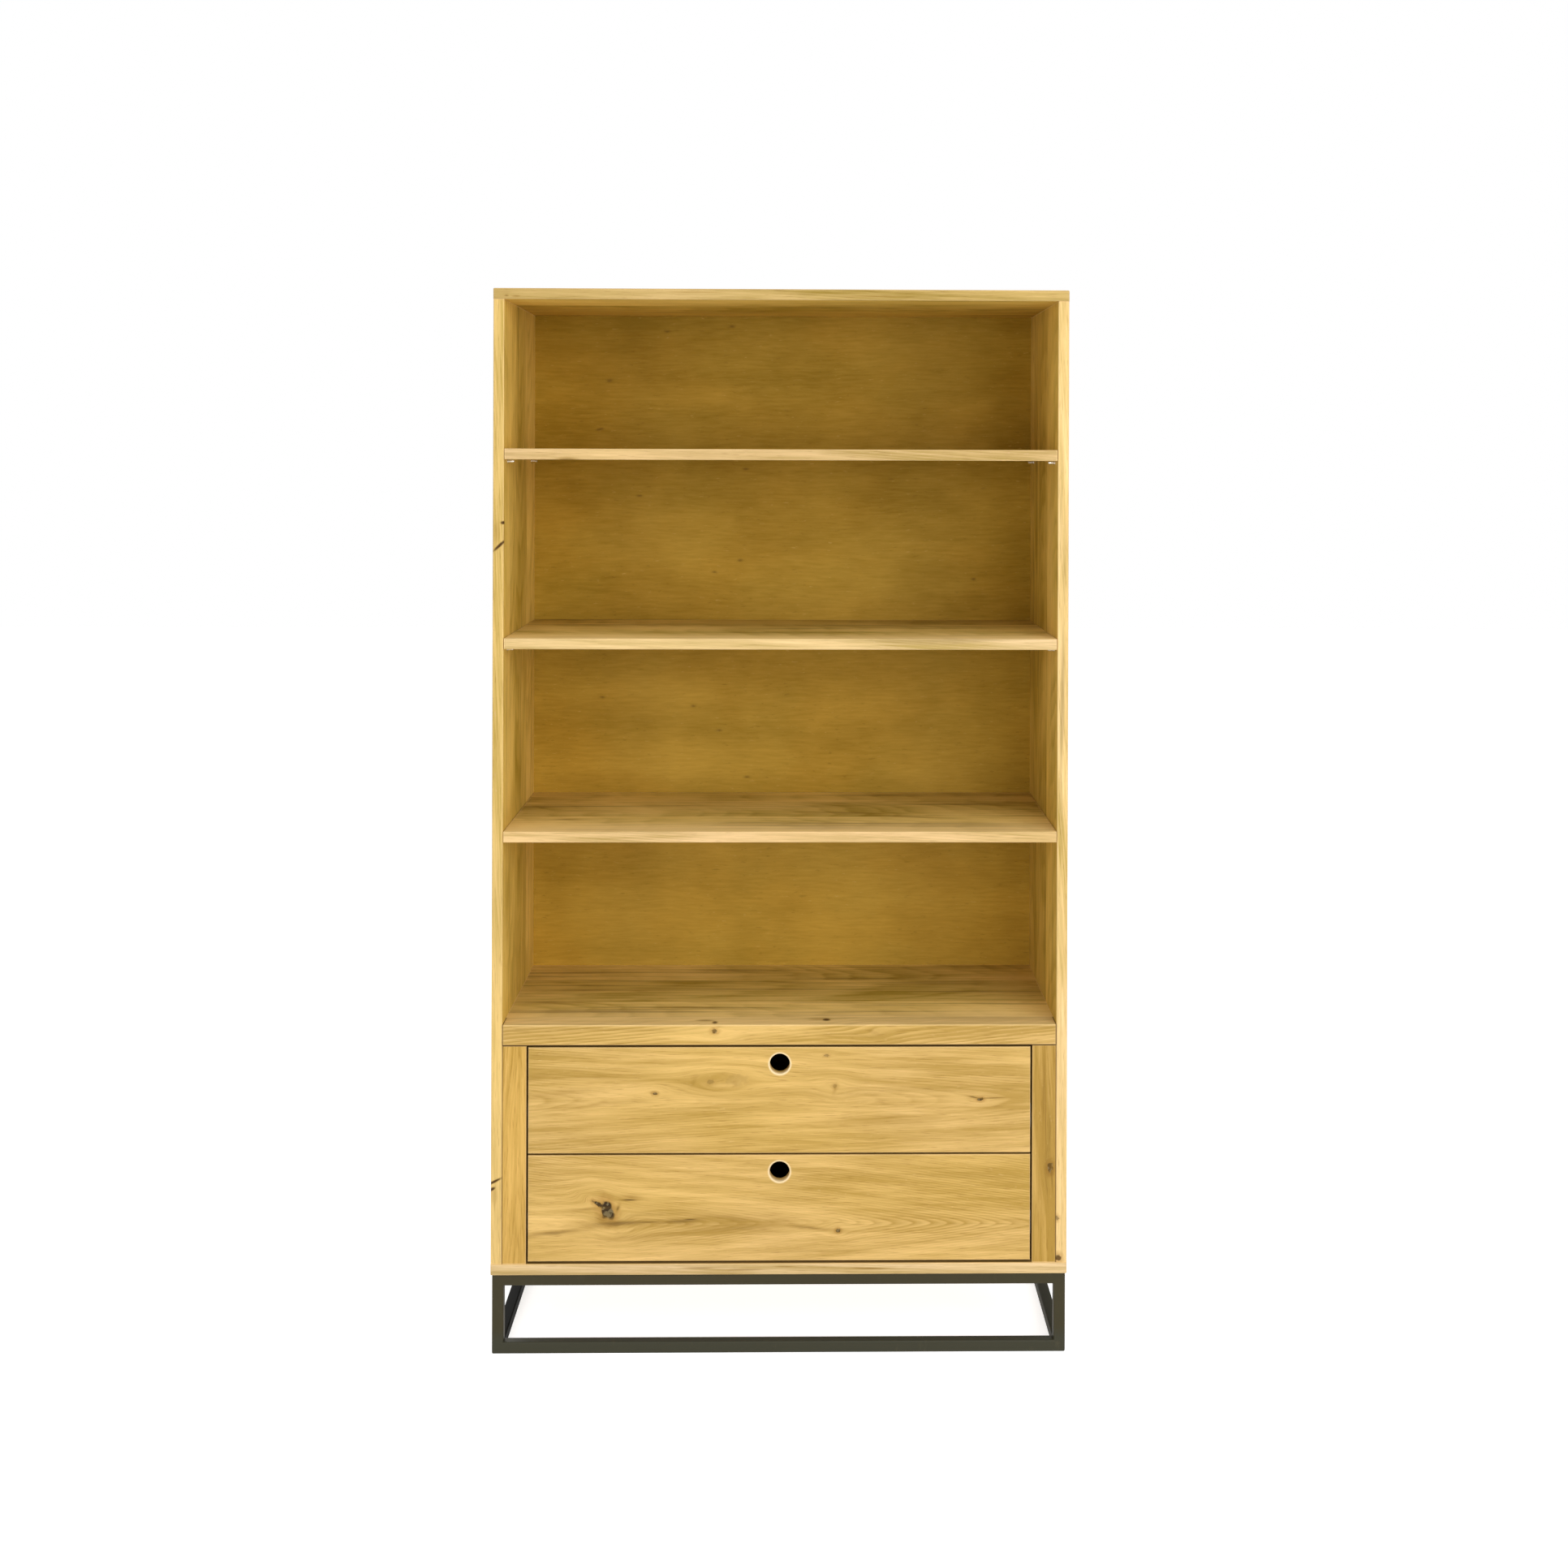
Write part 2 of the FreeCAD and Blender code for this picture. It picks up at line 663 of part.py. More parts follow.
# ---------------------------------------------------------------- ball runners
def channel(start_u, flange, half_h, thickness, inside_r, opens, lip=0.0):
    """Section of a rolled member in (u, v): u is the distance from the wall, v the height above its middle.

    The web starts at start_u, and the flanges run towards the drawer (opens=1) or the wall (opens=-1).
    """
    web = start_u + thickness / 2 if opens > 0 else start_u - thickness / 2
    tip = start_u + opens * (flange - (thickness / 2 if lip else 0))
    v = half_h - thickness / 2
    path = [(tip, -v), (web, -v), (web, v), (tip, v)]
    if lip:
        path = [(tip, -v + lip)] + path + [(tip, v - lip)]
    return bent_section(path, thickness, inside_r)


def runner_member(section, length, runner_z, start_y):
    """A section extruded along the runner, on the right-hand wall."""
    solid = section.extrude(Vector(0, length, 0))
    # u grows from the wall to the middle of the bookcase, so the section is turned about the vertical
    solid = solid.mirror(Vector(0, 0, 0), Vector(1, 0, 0))
    solid.translate(Vector(opening_x, start_y, runner_z))
    return solid


def race_half(level):
    """Half height of the outer (0), middle (1) and inner (2) member."""
    return runner_h / 2 - level * race_pitch


def ball_row_v(level):
    """Height of the balls between members level and level + 1, above the runner's middle."""
    return race_half(level) - sheet_t - race_gap / 2


def ball_row_u(level):
    """Distance of the same balls from the wall: the middle of where both races are flat."""
    if level == 0:
        return (middle_web_u + outer_flange) / 2
    return (inner_tip_u + middle_tip_u) / 2


def cage_u(level):
    """(start, end) of a cage from the wall: its web stands midway between its two members."""
    if level == 0:
        web, tip = (sheet_t + middle_web_u) / 2, outer_flange - sheet_t
    else:
        web, tip = (middle_web_u + sheet_t + inner_tip_u) / 2, runner_t - sheet_t
    return web - cage_sheet_t / 2, tip - cage_tip_gap


def between_screws():
    """Places along the runner halfway between its screws."""
    rows = runner_screw_rows()
    return [(first + second) / 2 for first, second in zip(rows, rows[1:])]


def outer_member(runner_z, side):
    """The member on the runner wall, with a tab at its rear end that stops the two that slide in it."""
    start_y = fascia_y + runner_start
    end_y = start_y + runner_len + stop_gap
    section = channel(0.0, outer_flange, race_half(0), sheet_t, bend_r, 1, lip_h)
    member = runner_member(section, runner_len + stop_gap + sheet_t, runner_z, start_y)
    stop = block(
        (opening_x - outer_flange, opening_x - sheet_t / 2),
        (end_y, end_y + sheet_t),
        (runner_z - race_half(2) - stop_over, runner_z + race_half(2) + stop_over),
    )
    x = opening_x - 2 * sheet_t
    cutters = [rod((x, y, runner_z), (1, 0, 0), 3 * sheet_t, spare_hole_r) for y in between_screws()]
    cutters += wall_screws(RIGHT, runner_z)
    return on_side(cut_all(member.fuse(stop).removeSplitter(), cutters), side)


def middle_member(runner_z, side):
    """The member between the two others, with a hole to reach each wall screw when the runner is closed."""
    section = channel(middle_web_u, middle_tip_u - middle_web_u, race_half(1), sheet_t, bend_r, 1)
    member = runner_member(section, runner_len, runner_z, fascia_y + runner_start)
    x = opening_x - middle_web_u - 2 * sheet_t
    cutters = [rod((x, y, runner_z), (1, 0, 0), 3 * sheet_t, access_hole_r) for y in runner_screw_rows()]
    return on_side(cut_all(member, cutters), side)


def inner_member(runner_z, side):
    """The member on the drawer's side, with upright slots between its screws."""
    section = channel(runner_t, runner_t - inner_tip_u, race_half(2), sheet_t, bend_r, -1)
    member = runner_member(section, runner_len, runner_z, fascia_y + runner_start)
    cutters = drawer_screws(RIGHT, runner_z)
    for y in between_screws():
        slot = block(
            (box_x - sheet_t, box_x + 2 * sheet_t),
            (y - spare_hole_r, y + spare_hole_r),
            (runner_z - spare_slot_len / 2, runner_z + spare_slot_len / 2),
        )
        ends = edges_at(slot, "x")
        cutters.append(slot.makeFillet(spare_hole_r * 0.98, ends))
    return on_side(cut_all(member, cutters), side)


def cage_windows(start_u, runner_z, start_y):
    """Cutters for the two windows in a cage's web."""
    length, high = cage_window
    web = (opening_x - start_u - 2 * cage_sheet_t, opening_x - start_u + cage_sheet_t)
    heights = (runner_z - high / 2, runner_z + high / 2)
    middles = (start_y + cage_len / 4, start_y + cage_len * 3 / 4)
    return [block(web, (y - length / 2, y + length / 2), heights) for y in middles]


def ball_cage(runner_z, side, level):
    """Thin strip with two rows of balls set in it, between members level and level + 1."""
    start_u, end_u = cage_u(level)
    half = ball_row_v(level) + cage_sheet_t / 2
    section = channel(start_u, end_u - start_u, half, cage_sheet_t, cage_bend_r, 1)
    start_y = fascia_y + runner_start + (runner_len - cage_len) / 2
    cage = runner_member(section, cage_len, runner_z, start_y).cut(cage_windows(start_u, runner_z, start_y))
    balls = []
    for row in (-1, 1):
        for y in spread(start_y + cage_end, start_y + cage_len - cage_end, balls_per_row):
            centre = Vector(opening_x - ball_row_u(level), y, runner_z + row * ball_row_v(level))
            balls.append(Part.makeSphere(ball_r, centre))
    return on_side(cage.multiFuse(balls), side)


# ---------------------------------------------------------------- assembly
def carcass_nodes():
    nodes = {
        "top_panel": top_panel(),
        "bottom_panel": bottom_panel(),
        "side_panel_left": side_panel(LEFT),
        "side_panel_right": side_panel(RIGHT),
        "back_panel": back_panel(),
        "deck_panel": deck_panel(),
        "deck_rail": deck_rail(),
        "stile_left": stile(LEFT),
        "stile_right": stile(RIGHT),
        "runner_wall_left": runner_wall(LEFT),
        "runner_wall_right": runner_wall(RIGHT),
        "shelf_pins": shelf_pins(),
        "carcass_dowels": dowels(),
        "base_screws": base_screws(),
    }
    for name, underside in zip(("lower", "middle", "upper"), shelf_undersides()):
        nodes[f"shelf_{name}"] = shelf(underside)
    return nodes


def drawer_nodes(name, front_z):
    """One drawer with its runners: the oak and plywood pieces, then the rolled members, cages and screws."""
    z = runner_mid_z(front_z)
    nodes = {
        f"{name}_drawer_front": drawer_front(front_z),
        f"{name}_drawer_back": drawer_back(front_z),
        f"{name}_drawer_floor": drawer_floor(front_z),
        f"{name}_drawer_screws": drawer_screws(LEFT, z) + drawer_screws(RIGHT, z),
        f"{name}_outer_cages": [ball_cage(z, LEFT, 0), ball_cage(z, RIGHT, 0)],
        f"{name}_inner_cages": [ball_cage(z, LEFT, 1), ball_cage(z, RIGHT, 1)],
    }
    for hand, side in (("left", LEFT), ("right", RIGHT)):
        nodes[f"{name}_drawer_side_{hand}"] = drawer_side(front_z, side)
        nodes[f"{name}_runner_outer_{hand}"] = outer_member(z, side)
        nodes[f"{name}_runner_middle_{hand}"] = middle_member(z, side)
        nodes[f"{name}_runner_inner_{hand}"] = inner_member(z, side)
    return nodes


def all_nodes():
    nodes = carcass_nodes()
    nodes.update(base_nodes())
    nodes.update(drawer_nodes("lower", lower_front_z))
    nodes.update(drawer_nodes("upper", upper_front_z))
    small_screws = back_screws()
    for front_z in (lower_front_z, upper_front_z):
        for side in (LEFT, RIGHT):
            small_screws += wall_screws(side, runner_mid_z(front_z))
    nodes["carcass_screws"] = small_screws
    return nodes


def export(name, shape):
    if isinstance(shape, list):
        shape = Part.makeCompound(shape)
    if not shape.isValid():
        print("not valid:", name)
    shape.exportStep(f"parts/{name}.step")


os.makedirs("parts", exist_ok=True)
for node_name, node_shape in all_nodes().items():
    export(node_name, node_shape)
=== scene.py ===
"""Finishes and studio for the oak bookcase with two bottom drawers.

Every board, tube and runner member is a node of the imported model. This script gives each of them its own
finish, and sets up the floor, the lights and the camera. Metres, +Z up, +Y to the back, origin on the floor.
"""

from __future__ import annotations

import logging
import math
from dataclasses import dataclass
from enum import Enum

import bmesh
import bpy
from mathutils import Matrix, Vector


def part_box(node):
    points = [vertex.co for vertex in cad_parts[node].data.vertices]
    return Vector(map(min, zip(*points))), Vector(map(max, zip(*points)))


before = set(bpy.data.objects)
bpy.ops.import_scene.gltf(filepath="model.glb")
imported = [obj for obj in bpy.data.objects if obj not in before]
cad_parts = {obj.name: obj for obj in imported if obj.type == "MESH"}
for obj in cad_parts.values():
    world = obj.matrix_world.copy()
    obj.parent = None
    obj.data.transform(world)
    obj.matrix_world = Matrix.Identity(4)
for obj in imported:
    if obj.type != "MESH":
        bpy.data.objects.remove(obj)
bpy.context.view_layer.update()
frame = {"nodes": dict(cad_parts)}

LOG = logging.getLogger("bookcase")
Colour = tuple[float, float, float]
Point = tuple[float, float, float]
HANDS = ("left", "right")
WHITE = (1.0, 1.0, 1.0, 1.0)
FRAME_SIDE = 1932  # width and height, in pixels, of the frame that the camera is set for
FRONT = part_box("deck_rail")[0][1]  # the deck rail's front face
FACE_DEPTH = 0.0015  # how deep the tint of a face goes
ENDLESS = 9.0  # longer than any board
OAK_STRIDE, PLY_STRIDE, STAVE_STRIDE = 3.7, 5.1, 11.3  # how far apart the seeds lie in the noise
RING_STOPS = [(0.0, 1.0), (0.25, 0.6), (0.6, 0.2), (0.8, 0.1), (1.0, 1.0)]  # part of the year, share of pores


# ---------------------------------------------------------------- shader graph


class Signal:
    """A number in a material's graph. Arithmetic on it adds Math nodes."""

    def __init__(self, graph: Graph, socket: bpy.types.NodeSocket) -> None:
        """Wraps an output socket.

        Args:
            graph: The graph that the socket belongs to.
            socket: The output that carries the number.
        """
        self.graph = graph
        self.socket = socket

    def math(self, operation: str, *operands: Signal | float) -> Signal:
        """Adds a Math node.

        Args:
            operation: The node's operation.
            operands: Its inputs in order.

        Returns:
            The node's result.
        """
        node = self.graph.node("ShaderNodeMath", {"operation": operation}, dict(enumerate(operands)))
        return Signal(self.graph, node.outputs[0])

    def __add__(self, other: Signal | float) -> Signal:
        """Sum."""
        return self.math("ADD", self, other)

    __radd__ = __add__

    def __sub__(self, other: Signal | float) -> Signal:
        """Difference."""
        return self.math("SUBTRACT", self, other)

    def __rsub__(self, other: Signal | float) -> Signal:
        """Difference from a number."""
        return self.math("SUBTRACT", other, self)

    def __mul__(self, other: Signal | float) -> Signal:
        """Product."""
        return self.math("MULTIPLY", self, other)

    __rmul__ = __mul__

    def __truediv__(self, other: Signal | float) -> Signal:
        """Quotient."""
        return self.math("DIVIDE", self, other)

    def __neg__(self) -> Signal:
        """The same number with the other sign."""
        return self.math("MULTIPLY", self, -1.0)

    def exp(self) -> Signal:
        """e to the power of this number."""
        return self.math("EXPONENT", self)

    def root(self) -> Signal:
        """Square root."""
        return self.math("SQRT", self)

    def size(self) -> Signal:
        """The number without its sign."""
        return self.math("ABSOLUTE", self)

    def floor(self) -> Signal:
        """Whole number below."""
        return self.math("FLOOR", self)

    def fraction(self) -> Signal:
        """What is left above the whole number below."""
        return self.math("FRACT", self)

    def limited(self) -> Signal:
        """The number kept between 0 and 1."""
        return self.math("MINIMUM", self.math("MAXIMUM", self, 0.0), 1.0)

    def step(self, low: float, high: float) -> Signal:
        """Smooth step from 0 at low to 1 at high.

        Args:
            low: Where the step starts.
            high: Where it ends.

        Returns:
            A number from 0 to 1.
        """
        ranged = self.graph.node(
            "ShaderNodeMapRange",
            {"interpolation_type": "SMOOTHSTEP"},
            {"Value": self, "From Min": low, "From Max": high},
        )
        return Signal(self.graph, ranged.outputs["Result"])


class Graph:
    """Builds the nodes of one material."""

    octave_gain: float = 0.55

    def __init__(self, name: str) -> None:
        """Starts an empty material.

        Args:
            name: The material's name.
        """
        self.material = bpy.data.materials.new(name)
        self.material.use_nodes = True
        self.tree = self.material.node_tree
        self.tree.nodes.clear()

    @classmethod
    def of(cls, tree: bpy.types.NodeTree) -> Graph:
        """Starts on a node tree that isn't a material's.

        Args:
            tree: The tree, which is emptied.

        Returns:
            The graph.
        """
        graph = cls.__new__(cls)
        graph.tree = tree
        tree.nodes.clear()
        return graph

    def node(self, kind: str, settings: dict, inputs: dict) -> bpy.types.Node:
        """Adds a node of any type.

        Args:
            kind: Blender's name of the node type.
            settings: Properties that are set first. "stops" holds a colour ramp's (position, colour) pairs.
            inputs: Input socket name or index to a value, a Signal or an output socket.

        Returns:
            The node.
        """
        node = self.tree.nodes.new(kind)
        for key, value in settings.items():
            if key == "stops":
                self._set_stops(node.color_ramp, value)
            else:
                setattr(node, key, value)
        for key, value in inputs.items():
            if isinstance(value, Signal):
                value = value.socket
            if isinstance(value, bpy.types.NodeSocket):
                self.tree.links.new(value, node.inputs[key])
            else:
                node.inputs[key].default_value = value
        return node

    @staticmethod
    def _set_stops(ramp: bpy.types.ColorRamp, stops: list[tuple[float, Colour]]) -> None:
        """Gives a colour ramp its stops.

        Args:
            ramp: The ramp.
            stops: (position, colour) pairs from left to right.
        """
        while len(ramp.elements) > 1:
            ramp.elements.remove(ramp.elements[-1])
        for i, (position, colour) in enumerate(stops):
            element = ramp.elements[0] if i == 0 else ramp.elements.new(position)
            element.position = position
            element.color = (*colour, 1.0)

    def place(self) -> tuple[Signal, Signal, Signal]:
        """The object's own coordinates.

        Returns:
            X, Y and Z in metres.
        """
        return self._split(self.node("ShaderNodeTexCoord", {}, {}).outputs["Object"])

    def _split(self, vector: bpy.types.NodeSocket) -> tuple[Signal, Signal, Signal]:
        """The three numbers of a vector or colour."""
        parts = self.node("ShaderNodeSeparateXYZ", {}, {0: vector}).outputs
        return tuple(Signal(self, part) for part in parts)

    def noise(self, x: Signal | float, y: Signal | float, z: Signal | float, octaves: float) -> Signal:
        """Noise at a place that is already scaled.

        Args:
            x: First coordinate, in noise cells.
            y: Second coordinate.
            z: Third coordinate.
            octaves: Octaves above the first.

        Returns:
            A number from 0 to 1, mostly near 0.5.
        """
        where = self.node("ShaderNodeCombineXYZ", {}, {0: x, 1: y, 2: z})
        made = self.node(
            "ShaderNodeTexNoise",
            {},
            {"Vector": where.outputs[0], "Scale": 1.0, "Detail": octaves, "Roughness": self.octave_gain},
        )
        return Signal(self, made.outputs["Fac"])

    def mottle(self, place: tuple[Signal, Signal, Signal], cells: float, octaves: float) -> Signal:
        """Noise with cells of one size in all directions, so many per metre."""
        return self.noise(*(axis * cells for axis in place), octaves)

    def chance(self, index: Signal) -> tuple[Signal, Signal, Signal]:
        """Three random numbers for an index.

        Args:
            index: What the numbers depend on.

        Returns:
            Three numbers from 0 to 1.
        """
        made = self.node("ShaderNodeTexWhiteNoise", {"noise_dimensions": "1D"}, {"W": index})
        return self._split(made.outputs["Color"])

    def ramp(self, value: Signal, stops: list[tuple[float, float]]) -> Signal:
        """Shapes a number with a smooth ramp of greys.

        Args:
            value: The number.
            stops: (position, grey) pairs.

        Returns:
            The shaped number.
        """
        greys = [(position, (grey,) * 3) for position, grey in stops]
        made = self.node("ShaderNodeValToRGB", {"stops": greys}, {"Fac": value})
        made.color_ramp.interpolation = "EASE"
        return Signal(self, made.outputs["Color"])

    def blend(
        self,
        factor: Signal | float,
        first: bpy.types.NodeSocket | Colour,
        second: bpy.types.NodeSocket | Colour,
        mode: str = "MIX",
    ) -> bpy.types.NodeSocket:
        """Mixes two colours.

        Args:
            factor: How much of the second.
            first: The colour at 0.
            second: The colour at 1.
            mode: Blender's blend type.

        Returns:
            The mixed colour.
        """
        colours = [c if isinstance(c, bpy.types.NodeSocket) else (*c, 1.0) for c in (first, second)]
        made = self.node(
            "ShaderNodeMix",
            {"data_type": "RGBA", "blend_type": mode},
            {"Factor": factor, 6: colours[0], 7: colours[1]},
        )
        return made.outputs[2]

    def bump(self, height: Signal, depth: float, strength: float = 0.5) -> bpy.types.NodeSocket:
        """Turns a height into a normal.

        Args:
            height: The relief, from 0 to 1.
            depth: What 1 is, in metres.
            strength: The bump's strength.

        Returns:
            The normal.
        """
        made = self.node("ShaderNodeBump", {}, {"Height": height, "Distance": depth, "Strength": strength})
        return made.outputs["Normal"]

    def surface(self, inputs: dict) -> bpy.types.Material:
        """Ends the graph in a Principled shader.

        Args:
            inputs: The shader's inputs by name.

        Returns:
            The finished material.
        """
        shader = self.node("ShaderNodeBsdfPrincipled", {}, inputs)
        self.node("ShaderNodeOutputMaterial", {}, {"Surface": shader.outputs[0]})
        return self.material


# ---------------------------------------------------------------- finishes


class Cut(Enum):
    """How a board lies: the axes along its grain, across its face and through it."""

    SHELF = (0, 1, 2)
    FASCIA = (0, 2, 1)
    SIDE = (2, 1, 0)
    POST = (2, 0, 1)
    DRAWER_SIDE = (1, 2, 0)


class Side(Enum):
    """A side of a board: the axis it faces along, and whether it is the low or the high one."""

    LEFT = (0, 0)
    RIGHT = (0, 1)
    UNDER = (2, 0)
    TOP = (2, 1)


class Tint(Enum):
    """Light and dark wood of the oiled oak: outside, on the faces inside the bays, and on the shelves. The
    inner pair is a lighter and warmer copy of the outer one: painted bounce light inside the bays.
    """

    OUTER = ((0.80, 0.530, 0.200), (0.46, 0.285, 0.068))
    # painted bounce light: a lighter, warmer copy of the outer tint, for the faces in the bays
    INNER = ((0.87, 0.595, 0.155), (0.44, 0.288, 0.034))
    SHELF = ((0.86, 0.620, 0.215), (0.37, 0.255, 0.034))


@dataclass(frozen=True)
class Face:
    """A face of a board with a tint of its own: tone darkens it, and calm takes away dark veins."""

    side: Side
    tint: Tint
    tone: float = 0.0
    calm: float = 0.0


@dataclass(frozen=True)
class Knot:
    """A knot, in metres along the grain and across it. The grain opens round it by up to spread radii.

    It goes right through the board, unless through says how deep it lies.
    """

    along: float
    across: float
    radius: float
    darkness: float = 0.8
    stretch: float = 1.5
    spread: float = 3.2
    through: float | None = None
    lean: float = 0.0


@dataclass(frozen=True)
class Streak:
    """A dark streak or fine crack. Its length and width run from its middle to its fading ends.

    slope and tilt turn it across the grain and through the board, and ragged makes its edges uneven. It goes
    right through the board, unless through says how deep it lies, and then reach is its size that way.
    """

    along: float
    across: float
    length: float
    width: float
    darkness: float = 0.6
    slope: float = 0.0
    through: float | None = None
    reach: float = 0.004
    tilt: float = 0.0
    ragged: float = 0.0


@dataclass(frozen=True)
class Heart:
    """Where a board's rings run out in arches that point along the grain.

    The radius grows by lean along the grain, and depth rounds the tips of the arches. With shown set, the
    rings are clearer at that place along the grain, by clarity, over length and width.
    """

    along: float
    across: float
    lean: float
    depth: float = 0.006
    shown: float | None = None
    length: float = 0.17
    width: float = 0.034
    clarity: float = 0.42


@dataclass(frozen=True)
class Pith:
    """How far below a stave its pith runs, and how it leans. Chance adds up to a pair's second number."""

    below: tuple[float, float] = (0.012, 0.05)
    lean: tuple[float, float] = (0.02, 0.07)
    aside: float = 0.9
    along: float = 1.6


@dataclass(frozen=True)
class PaintedLightReach:
    """Where painted light and shade start and end, in metres, and how strong they are: painted highlights on
    the arrises and fronts, painted shade at the back, a painted highlight round a hole's rim, and painted
    shade on faces in gaps.
    """

    skin: float = 0.0004
    arrises: float = 0.75
    front_light_reach: float = 0.13
    back: tuple[float, float] = (-0.16, 0.17)
    rim: tuple[float, float] = (0.0010, 0.0042)
    rim_depth: tuple[float, float] = (0.003, 0.013)
    rim_strength: float = 0.8
    gap: tuple[float, float] = (0.0001, 0.0007)
    gap_depth: tuple[float, float] = (0.0012, 0.0045)
    gap_strength: float = 0.75


@dataclass(frozen=True)
class Layer:
    """A layer of noise in a board, in cells per metre along its grain and across it.

    It counts by weight, and jumps from stave to stave. With shows set it is a mask between those two limits,
    and with depth set it is the same all through the board.
    """

    along: float
    across: float
    octaves: float
    weight: float = 1.0
    offset: float = 0.0
    jump: float = 0.0
    depth: float | None = None
    shows: tuple[float, float] | None = None


class OakLayer(Enum):
    """The layers of the oak's figure."""

    SWAY = Layer(1.2, 1.6, 1.0, 0.026)
    WANDER = Layer(9.0, 16.0, 2.0, 0.004)
    FIBRE = Layer(5.0, 150.0, 2.0, 1.0)
    FINE = Layer(18.0, 480.0, 1.0, 0.5)
    CLOUD = Layer(2.6, 9.0, 2.0, 0.9, jump=4.0)
    BAND = Layer(0.8, 75.0, 1.0, 0.9, jump=2.0, depth=0.0)
    HAIR = Layer(2.2, 90.0, 2.0, 0.22, offset=6.0)
    DRIFT = Layer(1.7, 6.0, 2.0, 0.6, offset=9.0)
    VEIN = Layer(1.5, 60.0, 2.0, offset=4.0, jump=7.0)
    RAY = Layer(95.0, 260.0, 1.0, 0.35, shows=(0.66, 0.78))
    PORE = Layer(40.0, 650.0, 1.0, 0.35, shows=(0.56, 0.72))
    RELIEF = Layer(30.0, 600.0, 1.0)


class PlyLayer(Enum):
    """The layers of the plywood's figure."""

    WAVE = Layer(2.4, 5.0, 1.0, 0.018)
    WOBBLE = Layer(22.0, 40.0, 2.0, 0.005)
    LINES = Layer(22.0, 210.0, 3.0, 0.75, depth=0.0)
    BROAD = Layer(2.0, 16.0, 3.0, 0.7, depth=0.0)
    CLOUD = Layer(6.5, 8.0, 4.0, 1.0)
    WARM = Layer(4.0, 6.0, 2.0, 0.5, offset=7.0, shows=(0.40, 0.62))
    DASH = Layer(60.0, 230.0, 2.0, depth=3.0)
    RELIEF = Layer(60.0, 500.0, 1.0)


class Board:
    """The place in a board, sorted by its grain, and the noise in it."""

    def __init__(self, graph: Graph, cut: Cut, shift: float) -> None:
        """Starts from the object's own coordinates.

        Args:
            graph: The material's graph.
            cut: How the board lies.
            shift: Where in the noise its grain starts.
        """
        self.graph = graph
        self.axes = graph.place()
        self.along, self.across, self.through = (self.axes[i] for i in cut.value)
        self.shift = shift
        self.stave: Signal | None = None

    def noise(self, kind: OakLayer | PlyLayer, across: Signal | None = None) -> Signal:
        """A layer of the figure.

        Args:
            kind: The layer.
            across: Place across the grain, where that isn't straight.

        Returns:
            A number from 0 to 1.
        """
        layer = kind.value
        x = self.along * layer.along + self.shift
        if layer.offset:
            x = x + layer.offset
        y = (self.across if across is None else across) * layer.across
        if layer.jump:
            y = y + self.stave * layer.jump
        z = self.through * layer.across if layer.depth is None else self.shift + layer.depth
        made = self.graph.noise(x, y, z, layer.octaves)
        return made if layer.shows is None else made.step(*layer.shows)


def swing(kind: OakLayer | PlyLayer, noise: Signal) -> Signal:
    """A layer's noise on both sides of zero, times its weight."""
    return (noise - 0.5) * kind.value.weight


def strongest(first: Signal | None, second: Signal) -> Signal:
    """The larger of two signals, of which the first may be missing."""
    return second if first is None else first.math("MAXIMUM", first, second)


